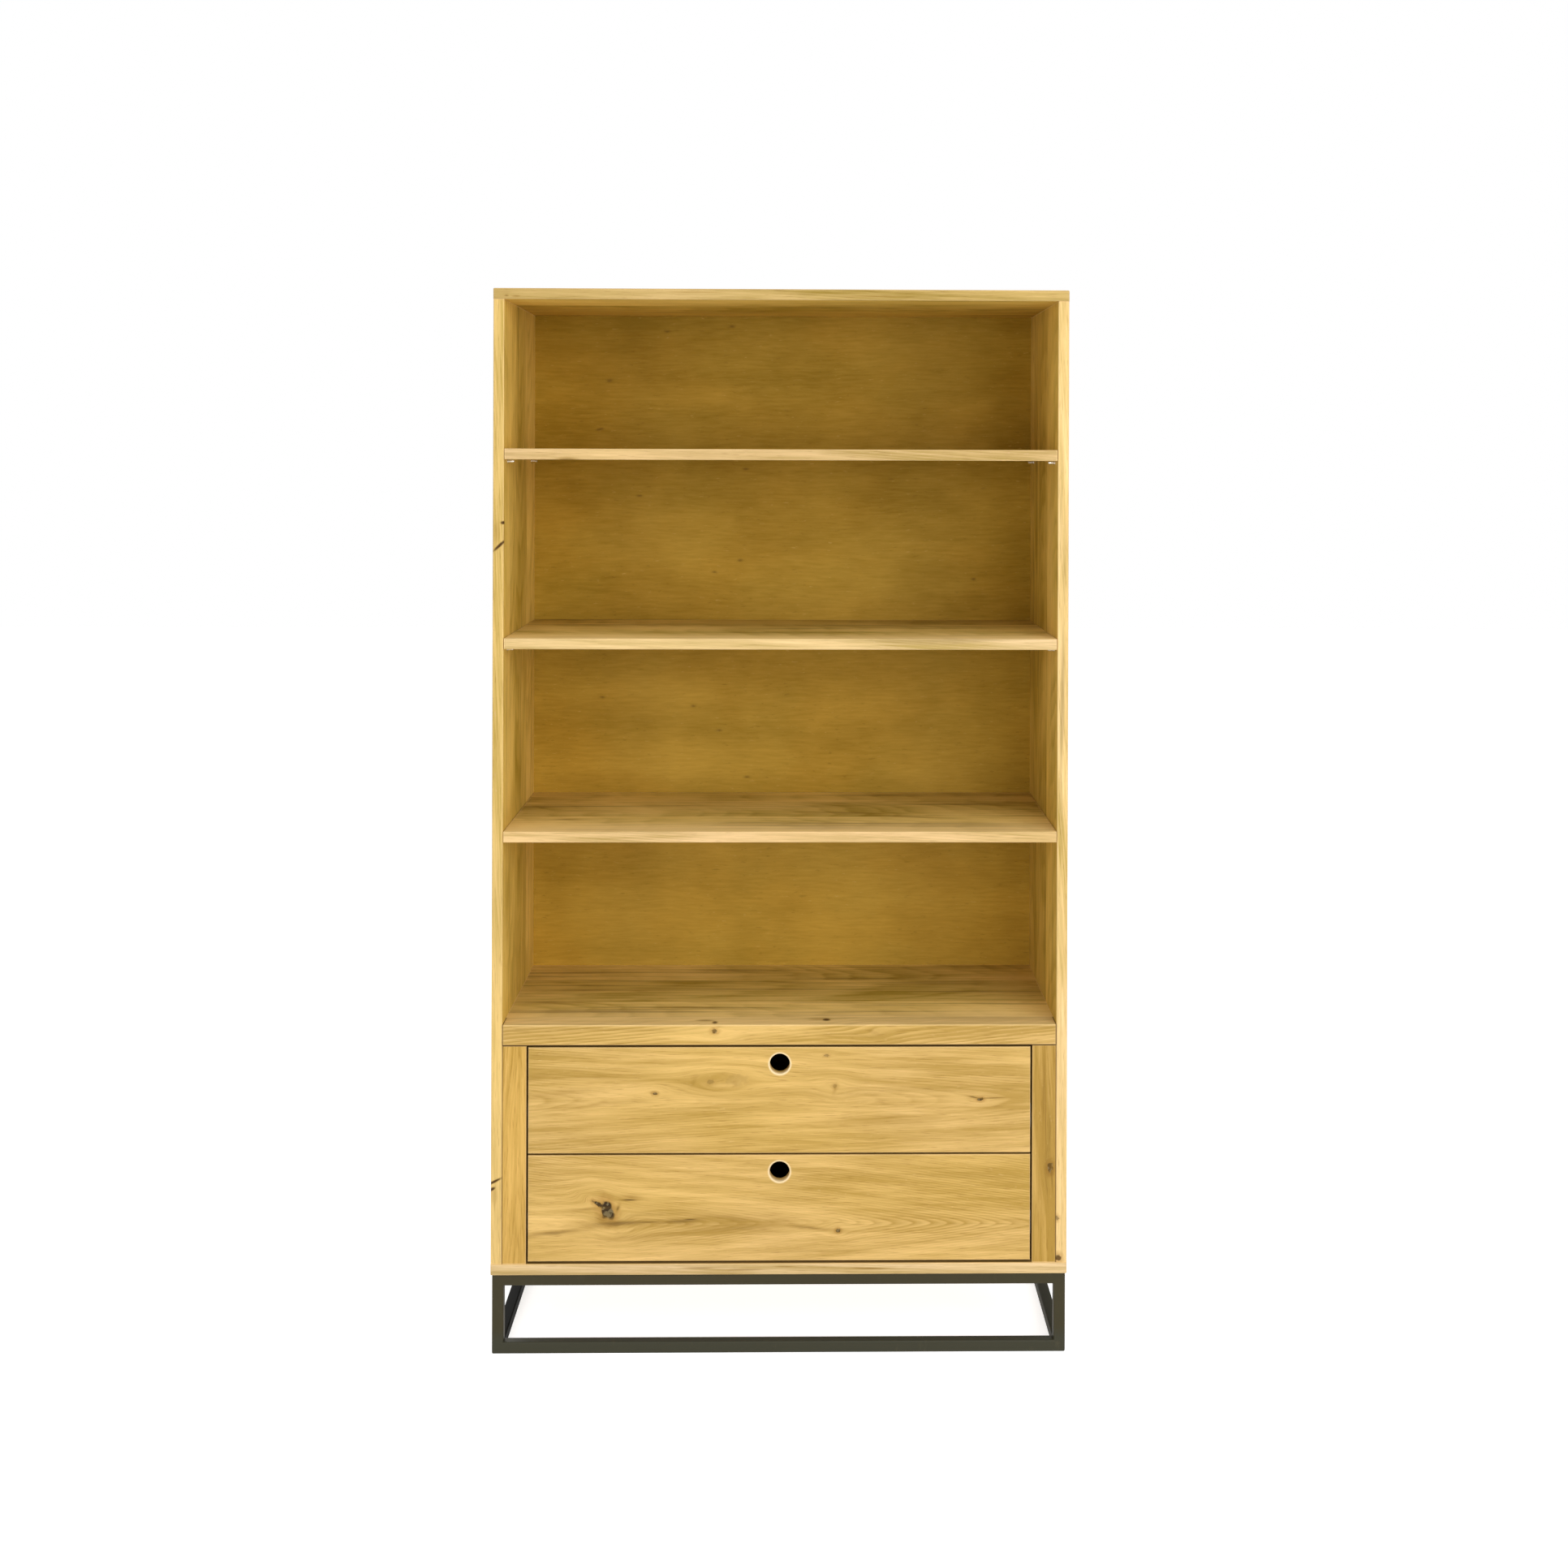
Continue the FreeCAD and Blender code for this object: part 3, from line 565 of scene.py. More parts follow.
@dataclass(frozen=True)
class OakFinish:
    """Oiled oak, glued up from staves. Rings are cylinders round a pith that leans away below each stave.

    Colours that are called shades multiply the wood's own. The front faces' colour gain, the paler fronts and
    arrises, the darker back, the pale rim of a hole and the dark faces in gaps are painted light and shade;
    pale is also the rays' colour. roughness is the plain wood's, and what fibres and pores add to it.
    """

    name: str
    cut: Cut
    seed: float
    board: str
    tint: Tint = Tint.OUTER
    face: Face | None = None
    stave: float = 0.142
    first_stave: float = -0.198
    stave_step: float = 0.42
    ring: float = 0.0055
    ring_depth: float = 0.07
    figure: float = 1.0
    unrest: float = 1.0
    pith: Pith = Pith()
    heart: Heart | None = None
    tone: float = 0.0
    middle_tone: float = 0.33
    contrast: float = 1.0
    streaky: float = 0.35
    hair_sharpness: float = 24.0
    # Painted light and shade: a colour gain on the front faces, paler fronts, and a darker back.
    front_light_gain: Colour | None = None
    painted_front_light: float = 0.0
    painted_back_shade: float = 0.0
    arris: float = 0.0022
    light_reach: PaintedLightReach = PaintedLightReach()
    # Painted shade on the faces towards the gaps on these sides; painted highlight round this finger hole.
    shaded: tuple[Side, ...] = ()
    hole: tuple[float, float, float] | None = None
    knots: tuple[Knot, ...] = ()
    streaks: tuple[Streak, ...] = ()
    mineral: Colour = (0.20, 0.125, 0.018)
    # The rays' colour, and that of the painted highlights on the arrises and fronts.
    pale: Colour = (0.82, 0.58, 0.27)
    drift_shade: Colour = (0.97, 0.96, 0.66)
    pore_shade: Colour = (0.45, 0.32, 0.2)
    # Colours of the painted shade at the back, the painted highlight on a hole's rim, and the painted shade
    # in gaps.
    back_shade: Colour = (0.42, 0.36, 0.16)
    rim_light: Colour = (0.95, 0.76, 0.46)
    gap_shadow: Colour = (0.17, 0.095, 0.022)
    knot_colour: Colour = (0.030, 0.016, 0.004)
    speck_colour: Colour = (0.27, 0.21, 0.10)
    halo_shade: Colour = (0.52, 0.36, 0.16)
    streak_colour: Colour = (0.30, 0.165, 0.022)
    crack_colour: Colour = (0.075, 0.032, 0.005)
    relief: float = 0.00025
    gloss: float = 0.16
    roughness: tuple[float, float, float] = (0.50, 0.14, 0.12)

    def build(self) -> bpy.types.Material:
        """Makes the material.

        Returns:
            The material.
        """
        g = Graph(self.name)
        board = Board(g, self.cut, self.seed * OAK_STRIDE)
        board.stave = ((board.across - self.first_stave) / self.stave).floor()
        opened, core, halo = self._knots(board)
        for layer in (OakLayer.SWAY, OakLayer.WANDER):
            opened = opened + swing(layer, board.noise(layer))
        chances = g.chance(board.stave + self.seed * STAVE_STRIDE)
        ring, radius = self._rings(board, opened, chances)
        bends = {OakLayer.FIBRE: opened, OakLayer.FINE: opened, OakLayer.BAND: radius, OakLayer.CLOUD: None}
        noises = {layer: board.noise(layer, across) for layer, across in bends.items()}
        fibre, cloud = noises[OakLayer.FIBRE], noises[OakLayer.CLOUD]
        hair = (board.noise(OakLayer.HAIR, opened) - 0.5).size() * self.hair_sharpness
        hair = (1.0 - hair.limited()) * (cloud * 1.5 - 0.35).limited()
        depth = ring * (self.ring_depth + self._clarity(board, cloud)) * self.figure
        depth = depth + hair * OakLayer.HAIR.value.weight
        for layer, noise in noises.items():
            depth = depth + swing(layer, noise)
        depth = depth + (chances[1] - 0.5) * self.stave_step
        depth = (depth * self.contrast + self.middle_tone + self.tone).limited()
        colour = g.blend(depth, *self.tint.value)
        outward = None
        # Where a board has the inner tint, its outer face keeps a tint of its own, while the faces in the
        # bays keep the painted bounce light.
        if self.face is not None:
            axis, end = self.face.side.value
            outward = 1.0 - (board.axes[axis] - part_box(self.board)[end][axis]).size().step(0.0, FACE_DEPTH)
            tinted = g.blend((depth + self.face.tone).limited(), *self.face.tint.value)
            colour = g.blend(outward, colour, tinted)
        drift = (board.noise(OakLayer.DRIFT) * 2.6 - 1.0).limited() * OakLayer.DRIFT.value.weight
        colour = g.blend(drift, colour, self.drift_shade, "MULTIPLY")
        vein = (board.noise(OakLayer.VEIN, opened) + (cloud - 0.5) * 0.3).step(0.55, 0.76) * self.streaky
        if outward is not None:
            vein = vein * (1.0 - outward * self.face.calm)
        colour = g.blend(vein, colour, self.mineral)
        ray = board.noise(OakLayer.RAY) * (1.0 - ring) * cloud
        colour = g.blend(ray * OakLayer.RAY.value.weight, colour, self.pale)
        pore = board.noise(OakLayer.PORE, opened) * (0.3 + ring * 0.7)
        colour = g.blend(pore * OakLayer.PORE.value.weight, colour, self.pore_shade, "MULTIPLY")
        colour = self._painted_light_and_shade(board, fibre, colour)
        colour = self._marked(board, core, halo, colour)
        plain, by_fibre, by_pore = self.roughness
        return g.surface(
            {
                "Base Color": colour,
                "Roughness": plain + fibre * by_fibre + pore * by_pore,
                "Normal": g.bump(board.noise(OakLayer.RELIEF), self.relief),
                "Specular IOR Level": self.gloss,
            }
        )

    def _clarity(self, board: Board, cloud: Signal) -> Signal:
        """How clearly the rings show.

        Args:
            board: The place in the board.
            cloud: The cloudy patches, of which the dense ones show more.

        Returns:
            What it adds to the rings' depth.
        """
        clear = cloud.step(0.40, 0.66) * 0.28
        heart = self.heart
        if heart is None or heart.shown is None:
            return clear
        du, dv = (board.along - heart.shown) / heart.length, (board.across - heart.across) / heart.width
        return strongest(clear, (-(du * du + dv * dv)).exp() * heart.clarity)

    def _marked(
        self, board: Board, core: Signal | None, halo: Signal | None, colour: bpy.types.NodeSocket
    ) -> bpy.types.NodeSocket:
        """Adds the knots and the streaks.

        Args:
            board: The place in the board.
            core: The knots' cores, or None without knots.
            halo: The shade round them.
            colour: The colour so far.

        Returns:
            The colour with the marks in it.
        """
        g = board.graph
        if core is not None:
            colour = g.blend(halo * 0.55, colour, self.halo_shade, "MULTIPLY")
            speck = g.mottle((board.along, board.across, board.through), 130.0, 2.0).step(0.50, 0.60)
            colour = g.blend(core, colour, g.blend(speck * 0.55, self.knot_colour, self.speck_colour))
        marks = self._streaks(board)
        if marks is not None:
            deep = g.blend(marks.step(0.35, 0.9), self.streak_colour, self.crack_colour)
            colour = g.blend(marks, colour, deep)
        return colour

    def _painted_light_and_shade(self, board: Board, fibre: Signal, colour: bpy.types.NodeSocket) -> bpy.types.NodeSocket:
        """Adds painted light and shade: a colour gain on the front faces, painted highlights on the arrises
        and the fronts, painted shade towards the back, a painted highlight round the hole's rim, and painted
        shade on faces in gaps.

        Args:
            board: The place in the board.
            fibre: The fine grain, which breaks up the pale places.
            colour: The colour so far.

        Returns:
            The colour with the painted light and shade on it.
        """
        g, axes, light_reach = board.graph, board.axes, self.light_reach
        low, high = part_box(self.board)
        # Painted highlight along the arrises, where two faces meet.
        near = []
        for i, axis in enumerate(axes):
            middle, half = (low[i] + high[i]) / 2.0, (high[i] - low[i]) / 2.0
            inside = half - (axis - middle).size()
            near.append(1.0 - inside.step(0.0, self.arris))
        x, y, z = near
        behind = axes[1] - low[1]
        wear_and_highlight = (x * y + y * z + z * x).limited() * light_reach.arrises
        # Painted light and shade: the front face gets a colour gain of its own, for how the light and its
        # sheen fall on it.
        if self.front_light_gain is not None:
            colour = g.blend(1.0 - behind.step(light_reach.skin, self.arris), colour, self.front_light_gain, "MULTIPLY")
        # Painted light: paler towards the front, where the light falls.
        if self.painted_front_light > 0.0:
            reach = 1.0 - (axes[1] - FRONT).step(0.0, light_reach.front_light_reach)
            reach = reach * (behind.step(light_reach.skin, self.arris) * 0.65 + 0.35)
            if self.face is not None:
                reach = reach * (1.0 - (high[2] - axes[2]).step(0.0, FACE_DEPTH))
            wear_and_highlight = strongest(wear_and_highlight, reach * self.painted_front_light)
        colour = g.blend(wear_and_highlight * (1.25 - fibre * 0.7), colour, self.pale)
        # Painted shade: darker towards the back.
        if self.painted_back_shade > 0.0:
            colour = g.blend(axes[1].step(*light_reach.back) * self.painted_back_shade, colour, self.back_shade, "MULTIPLY")
        # Painted highlight round the finger hole, on the front face and in the mouth of the bore.
        if self.hole is not None:
            across, up, radius = self.hole
            dx, dz = axes[0] - across, axes[2] - up
            rim = 1.0 - ((dx * dx + dz * dz).root() - radius).step(*light_reach.rim)
            rim = rim * (1.0 - behind.step(*light_reach.rim_depth))
            colour = g.blend(rim * light_reach.rim_strength, colour, self.rim_light)
        # Painted shade on the narrow faces that look into the gaps, behind the front.
        gap = None
        for side in self.shaded:
            axis, end = side.value
            gap = strongest(gap, 1.0 - (axes[axis] - (low, high)[end][axis]).size().step(*light_reach.gap))
        if gap is not None:
            gap = gap * behind.step(*light_reach.gap_depth) * light_reach.gap_strength
            colour = g.blend(gap, colour, self.gap_shadow)
        return colour

    def _rings(
        self, board: Board, opened: Signal, chances: tuple[Signal, Signal, Signal]
    ) -> tuple[Signal, Signal]:
        """Yearly rings.

        Args:
            board: The place in the board.
            opened: Place across the grain, bent round the knots.
            chances: The stave's random numbers.

        Returns:
            How near the porous early wood is, and the distance to the pith.
        """
        g, stave, pith = board.graph, board.stave, self.pith
        first, second, third = chances
        if self.heart is None:
            side = opened - (stave + 0.5) * self.stave - self.first_stave
            side = side + (first - 0.5) * self.stave * pith.aside
            below = board.through + pith.below[0] + second * pith.below[1]
            below = below + (board.along + (third - 0.5) * pith.along) * (pith.lean[0] + first * pith.lean[1])
            radius = (side * side + below * below).root()
        else:
            side = opened - self.heart.across
            below = board.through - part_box(self.board)[0][self.cut.value[2]] + self.heart.depth
            radius = (side * side + below * below).root() + (board.along - self.heart.along) * self.heart.lean
        u, w = board.along * 3.0 + self.seed, board.through * 28.0
        ragged = g.noise(u, opened * 28.0 + stave * 3.0, w, 2.0)
        uneven = g.noise(radius * 45.0, stave * 5.0, self.seed, 1.0)
        turn = (radius / self.ring + (ragged * 1.5 + uneven * 3.0) * self.unrest).fraction()
        return g.ramp(turn, RING_STOPS), radius

    def _knots(self, board: Board) -> tuple[Signal, Signal | None, Signal | None]:
        """Opens the grain round the knots.

        Args:
            board: The place in the board.

        Returns:
            The place across the grain with its lines bent, the knots' cores and the shade round them.
        """
        u, v, w = board.along, board.across, board.through
        opened, core, halo = v, None, None
        for knot in self.knots:
            du = (u - knot.along) / (knot.radius * knot.stretch)
            dv = (v - knot.across + (u - knot.along) * knot.lean) / knot.radius
            far = du * du * 0.5 + dv * dv
            flat = du * du + dv * dv
            if knot.through is not None:
                dw = (w - knot.through) / knot.radius
                far = far + dw * dw
                flat = flat + dw * dw
            pull = (far / -(knot.spread**2)).exp()
            opened = opened - (v - knot.across) * pull * 0.85
            cells = 0.9 / knot.radius
            ragged = board.graph.noise(u * cells + knot.along * 40.0, v * cells, w * cells, 2.0)
            near = flat.root() + (ragged - 0.5) * 1.5
            core = strongest(core, (1.0 - near.step(0.70, 1.15)) * knot.darkness)
            halo = strongest(halo, (1.0 - near.step(0.8, 2.6)) * knot.darkness)
        return opened, core, halo

    def _streaks(self, board: Board) -> Signal | None:
        """Dark streaks and fine cracks.

        Args:
            board: The place in the board.

        Returns:
            How dark they are, or None without streaks.
        """
        if not self.streaks:
            return None
        u, v, w = board.along, board.across, board.through
        warp = board.graph.noise(u * 14.0, v * 60.0, w * 60.0 + self.seed, 3.0) - 0.5
        total = None
        for streak in self.streaks:
            gone = u - streak.along
            aside = v - streak.across - gone * streak.slope + warp * (streak.ragged * streak.width * 4.0)
            du, dv = gone / streak.length, aside / streak.width
            far = du * du + dv * dv
            if streak.through is not None:
                dw = (w - streak.through - gone * streak.tilt) / streak.reach
                far = far + dw * dw
                far = far * far
            total = strongest(total, (-far).exp() * streak.darkness)
        return total


@dataclass(frozen=True)
class PlywoodFinish:
    """Oiled plywood: a peeled face with cloudy patches, short lines and small flecks, and edges in layers.

    Colours that are called shades multiply the wood's own. roughness is the plain face's, and what lines add.
    """

    name: str
    cut: Cut
    seed: float
    light: Colour = (0.52, 0.325, 0.046)
    dark: Colour = (0.28, 0.168, 0.010)
    warm_shade: Colour = (1.02, 0.95, 0.80)
    spot_colour: Colour = (0.17, 0.095, 0.006)
    pale_colour: Colour = (0.62, 0.42, 0.11)
    fleck_colour: Colour = (0.11, 0.060, 0.005)
    # gain of the painted light near the side walls
    wall_light_gain: Colour = (1.19, 1.19, 1.12)
    glue_shade: Colour = (0.72, 0.6, 0.5)
    ply: float = 0.0015
    # Painted shade: the face darkens upwards from the middle height. Painted light: it is paler near the side
    # walls, between the two limits along it.
    middle: float = 0.0
    upward_shade: float = 0.0
    wall_light: tuple[float, float] | None = None
    flecks: tuple[Knot, ...] = ()
    relief: float = 0.00015
    gloss: float = 0.14
    roughness: tuple[float, float] = (0.55, 0.14)

    def build(self) -> bpy.types.Material:
        """Makes the material.

        Returns:
            The material.
        """
        g = Graph(self.name)
        board = Board(g, self.cut, self.seed * PLY_STRIDE)
        wave, uneven = board.noise(PlyLayer.WAVE), board.noise(PlyLayer.WOBBLE) - 0.5
        bent = board.across + swing(PlyLayer.WAVE, wave) + uneven * PlyLayer.WOBBLE.value.weight
        bends = {PlyLayer.LINES: bent, PlyLayer.BROAD: bent, PlyLayer.CLOUD: None}
        noises = {layer: board.noise(layer, across) for layer, across in bends.items()}
        lines, cloud = noises[PlyLayer.LINES], noises[PlyLayer.CLOUD]
        depth = 0.5
        for layer, noise in noises.items():
            depth = depth + swing(layer, noise)
        # Painted shade: darker towards the top.
        depth = depth + (board.across - self.middle) * self.upward_shade
        colour = g.blend(depth.limited(), self.light, self.dark)
        warm = board.noise(PlyLayer.WARM) * PlyLayer.WARM.value.weight
        colour = g.blend(warm, colour, self.warm_shade, "MULTIPLY")
        dash = board.noise(PlyLayer.DASH, bent)
        spot = dash.step(0.62, 0.74) * (cloud * 1.6 - 0.2).limited()
        colour = g.blend(spot * 0.5, colour, self.spot_colour)
        pale = 1.0 - dash.step(0.22, 0.36)
        colour = g.blend(pale * 0.35, colour, self.pale_colour)
        specks = None
        for fleck in self.flecks:
            du = (board.along - fleck.along + uneven * 0.02) / (fleck.radius * fleck.stretch)
            dv = (board.across - fleck.across + uneven * 0.012) / fleck.radius
            specks = strongest(specks, (-(du * du + dv * dv)).exp() * fleck.darkness)
        if specks is not None:
            colour = g.blend(specks, colour, self.fleck_colour)
        # Painted light: paler near the side walls, where their shadow falls.
        if self.wall_light is not None:
            near_walls = board.along.size().step(*self.wall_light)
            colour = g.blend(near_walls, colour, self.wall_light_gain, "MULTIPLY")
        dark_ply = (board.through / (self.ply * 2.0)).fraction().step(0.46, 0.54)
        colour = g.blend(dark_ply * 0.15, colour, self.glue_shade, "MULTIPLY")
        plain, by_lines = self.roughness
        return g.surface(
            {
                "Base Color": colour,
                "Roughness": plain + lines * by_lines,
                "Normal": g.bump(board.noise(PlyLayer.RELIEF), self.relief),
                "Specular IOR Level": self.gloss,
            }
        )


@dataclass(frozen=True)
class PowderCoat:
    """Fine, matt powder coat on the steel base, a little dusty and rubbed near the floor.

    With outer set, the faces that far from the middle keep the colour, and the others are darkened by shade:
    a painted shade.
    roughness is the plain coat's, and what its grain and rubbing add. Sizes of noise are in cells per metre.
    """

    name: str = "graphite_powder_coat"
    colour: Colour = (0.0375, 0.0310, 0.0120)
    wear_and_highlight: Colour = (0.062, 0.054, 0.030)
    dusty: Colour = (0.0365, 0.0350, 0.0195)
    gloss: float = 0.22
    outer: float | None = None
    insets: tuple[float, float] = (0.0012, 0.0004)
    shade: float = 1.0
    grain: float = 1500.0
    cloud: float = 9.0
    scuff: tuple[float, float, float] = (60.0, 60.0, 24.0)
    dust_height: tuple[float, float] = (0.02, 0.05)
    rub_height: float = 0.06
    relief: float = 0.00012
    roughness: tuple[float, float, float] = (0.48, 0.12, 0.12)

    def build(self) -> bpy.types.Material:
        """Makes the material.

        Returns:
            The material.
        """
        g = Graph(self.name)
        axes = g.place()
        x, _, z = axes
        grain = g.mottle(axes, self.grain, 2.0)
        cloud = g.mottle(axes, self.cloud, 3.0)
        scuff = g.noise(*(axis * cells for axis, cells in zip(axes, self.scuff)), 4.0).step(0.60, 0.78)
        low = 1.0 - z.step(0.0, self.rub_height)
        rubbed = (scuff * (0.25 + low * 0.5) + (cloud - 0.5) * 0.25).limited()
        clean = g.blend(1.0 - z.step(*self.dust_height), self.colour, self.dusty)
        colour = g.blend(rubbed, clean, self.wear_and_highlight)
        # Painted shade on all faces but the outer ones.
        if self.outer is not None:
            inward = 1.0 - x.size().step(*(self.outer - inset for inset in self.insets))
            colour = g.blend(inward, colour, (self.shade,) * 3, "MULTIPLY")
        plain, by_grain, by_rubbing = self.roughness
        return g.surface(
            {
                "Base Color": colour,
                "Roughness": plain + grain * by_grain + rubbed * by_rubbing,
                "Normal": g.bump(grain, self.relief),
                "Specular IOR Level": self.gloss,
            }
        )


@dataclass(frozen=True)
class RolledMetal:
    """Plated or bare sheet and turned metal, with fine lines along one axis. Noise is in cells per metre."""

    name: str
    colour: Colour
    roughness: float
    along: int = 1
    cells_along: float = 30.0
    cells_across: float = 1400.0
    stain: Colour = (0.42, 0.40, 0.36)
    stain_cells: float = 45.0
    relief: float = 0.00005

    def build(self) -> bpy.types.Material:
        """Makes the material.

        Returns:
            The material.
        """
        g = Graph(self.name)
        axes = g.place()
        cells = [self.cells_along if i == self.along else self.cells_across for i in range(3)]
        brushed = g.noise(*(axis * count for axis, count in zip(axes, cells)), 2.0)
        cloud = g.mottle(axes, self.stain_cells, 3.0)
        colour = g.blend((cloud - 0.35).limited() * 0.35, self.colour, self.stain)
        return g.surface(
            {
                "Base Color": colour,
                "Metallic": 1.0,
                "Roughness": self.roughness + brushed * 0.12 + cloud * 0.08,
                "Normal": g.bump(brushed, self.relief, 0.4),
            }
        )


def shown_white(g: Graph) -> Signal:
    """Rays that should see the white background: camera, mirror and glass rays.

    Args:
        g: The graph of the floor or the world.

    Returns:
        1 for those rays and 0 for the others.
    """
    rays = g.node("ShaderNodeLightPath", {}, {})
    kinds = [Signal(g, rays.outputs[f"Is {kind} Ray"]) for kind in ("Camera", "Glossy", "Transmission")]
    return strongest(strongest(kinds[0], kinds[1]), kinds[2])


@dataclass(frozen=True)
class StudioFloor:
    """Seamless white floor. Where it is seen it is lifted to white, apart from the object's shadow."""

    name: str = "studio_floor"
    colour: Colour = (0.86, 0.86, 0.86)
    lift: float = 0.74

    def build(self) -> bpy.types.Material:
        """Makes the material.

        Returns:
            The material.
        """
        g = Graph(self.name)
        plain = g.node("ShaderNodeBsdfDiffuse", {}, {"Color": (*self.colour, 1.0)})
        glow = g.node("ShaderNodeEmission", {}, {"Color": WHITE, "Strength": self.lift})
        lifted = g.node("ShaderNodeAddShader", {}, {0: plain.outputs[0], 1: glow.outputs[0]})
        shaders = {0: shown_white(g), 1: plain.outputs[0], 2: lifted.outputs[0]}
        mixed = g.node("ShaderNodeMixShader", {}, shaders)
        g.node("ShaderNodeOutputMaterial", {}, {"Surface": mixed.outputs[0]})
        return g.material


# ---------------------------------------------------------------- sub-assemblies


Finish = OakFinish | PlywoodFinish | PowderCoat | RolledMetal


def dress(finish: Finish, *nodes: str) -> int:
    """Gives pieces their finish, and reports each of them.

    Args:
        finish: The finish.
        nodes: The pieces' nodes. An oak finish without any is for its own board.

    Returns:
        How many nodes were dressed.
    """
    material = finish.build()
    names = nodes or (finish.board,)
    for name in names:
        for slot in frame["nodes"][name].material_slots:
            slot.material = material
        LOG.info("%s: %s", name, material.name)
    return len(names)


@dataclass
class Carcass:
    """Top, bottom, sides, deck, stiles, runner walls and back."""

    front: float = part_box("side_panel_left")[0][1]

    def build(self) -> int:
        """Dresses the carcass.

        Returns:
            How many nodes were dressed.
        """
        count = self._lying_boards() + self._left_side() + self._right_side() + self._stiles()
        for i, hand in enumerate(HANDS):
            count += dress(OakFinish(f"oak_wall_{hand}", Cut.SIDE, 9.0 + i, f"runner_wall_{hand}", tone=0.03))
        count += dress(self._back(), "back_panel")
        return count + dress(OakFinish("beech_dowels", Cut.SIDE, 12.0, "carcass_dowels", contrast=0.5))

    def _lying_boards(self) -> int:
        """Dresses the top, the bottom, the deck and its rail.

        Returns:
            How many nodes were dressed.
        """
        top = OakFinish(
            "oak_top", Cut.SHELF, 1.0, "top_panel", Tint.INNER, tone=0.10, streaky=0.5,
            front_light_gain=(0.70, 0.71, 1.12), pale=(0.62, 0.44, 0.21),
            face=Face(Side.TOP, Tint.OUTER, -0.08, 0.6),
            streaks=(
                Streak(-0.477, FRONT, 0.0040, 0.01, 0.7, through=1.835, reach=0.0016),
                Streak(-0.460, FRONT, 0.0080, 0.01, 0.6, through=1.834, reach=0.0014),
                Streak(-0.150, FRONT, 0.0500, 0.01, 0.45, through=1.842, reach=0.0012),
                Streak(0.160, FRONT, 0.0600, 0.01, 0.45, through=1.836, reach=0.0012),
            ),
        )
        bottom = OakFinish(
            "oak_bottom", Cut.SHELF, 2.0, "bottom_panel", tone=0.04, front_light_gain=(1.04, 1.15, 1.78),
            shaded=(Side.TOP,),
            streaks=(
                Streak(-0.140, FRONT, 0.030, 0.012, 0.62, through=0.1500, reach=0.0014),
                Streak(-0.060, FRONT, 0.040, 0.012, 0.58, through=0.1470, reach=0.0016),
                Streak(0.010, FRONT, 0.020, 0.012, 0.55, through=0.1520, reach=0.0012),
                Streak(0.160, FRONT, 0.035, 0.012, 0.60, through=0.1480, reach=0.0016),
            ),
        )
        deck = OakFinish(
            "oak_deck", Cut.SHELF, 3.0, "deck_panel", Tint.SHELF, tone=-0.12, streaky=0.8, painted_front_light=0.7,
            painted_back_shade=0.10,
            streaks=(
                Streak(-0.36, 0.02, 0.12, 0.007, 0.6, ragged=0.5),
                Streak(-0.42, -0.06, 0.07, 0.009, 0.6, ragged=0.5),
                Streak(-0.18, -0.09, 0.05, 0.005, 0.55, ragged=0.5),
            ),
        )
        rail = OakFinish(
            "oak_rail", Cut.FASCIA, 4.0, "deck_rail", face=Face(Side.TOP, Tint.SHELF, 0.12), stave=0.2,
            first_stave=0.45, tone=0.02, figure=2.4, unrest=0.7, heart=Heart(-0.11, 0.45, -0.09, 0.01),
            ring=0.0062, streaky=0.25,
            painted_front_light=0.7, shaded=(Side.UNDER,), arris=0.0035, knot_colour=(0.085, 0.042, 0.006),
            knots=(
                Knot(-0.1135, 0.5595, 0.0034, 0.80, 1.6, 5.5, through=FRONT),
                Knot(0.165, 0.5590, 0.0060, 0.05, 1.8, 3.2, through=FRONT),
            ),
            streaks=(
                Streak(-0.1135, 0.571, 0.0052, 0.006, 0.88, through=-0.184, reach=0.0080),
                Streak(-0.1310, 0.571, 0.0170, 0.006, 0.60, through=-0.172, reach=0.0060),
                Streak(0.0810, 0.571, 0.0080, 0.006, 0.99, through=-0.168, reach=0.0085),
                Streak(0.0700, 0.571, 0.0220, 0.006, 0.45, through=-0.164, reach=0.0080),
                # Painted shade: dark lines along the rail's lower edge and at its ends, where it meets the
                # other parts.
                Streak(0.0, 0.5352, ENDLESS, 0.0016, 1.0),
                Streak(-0.4806, 0.553, 0.0015, ENDLESS, 0.9),
                Streak(0.4806, 0.553, 0.0015, ENDLESS, 0.9),
            ),
        )
        return sum(dress(finish) for finish in (top, bottom, deck, rail))

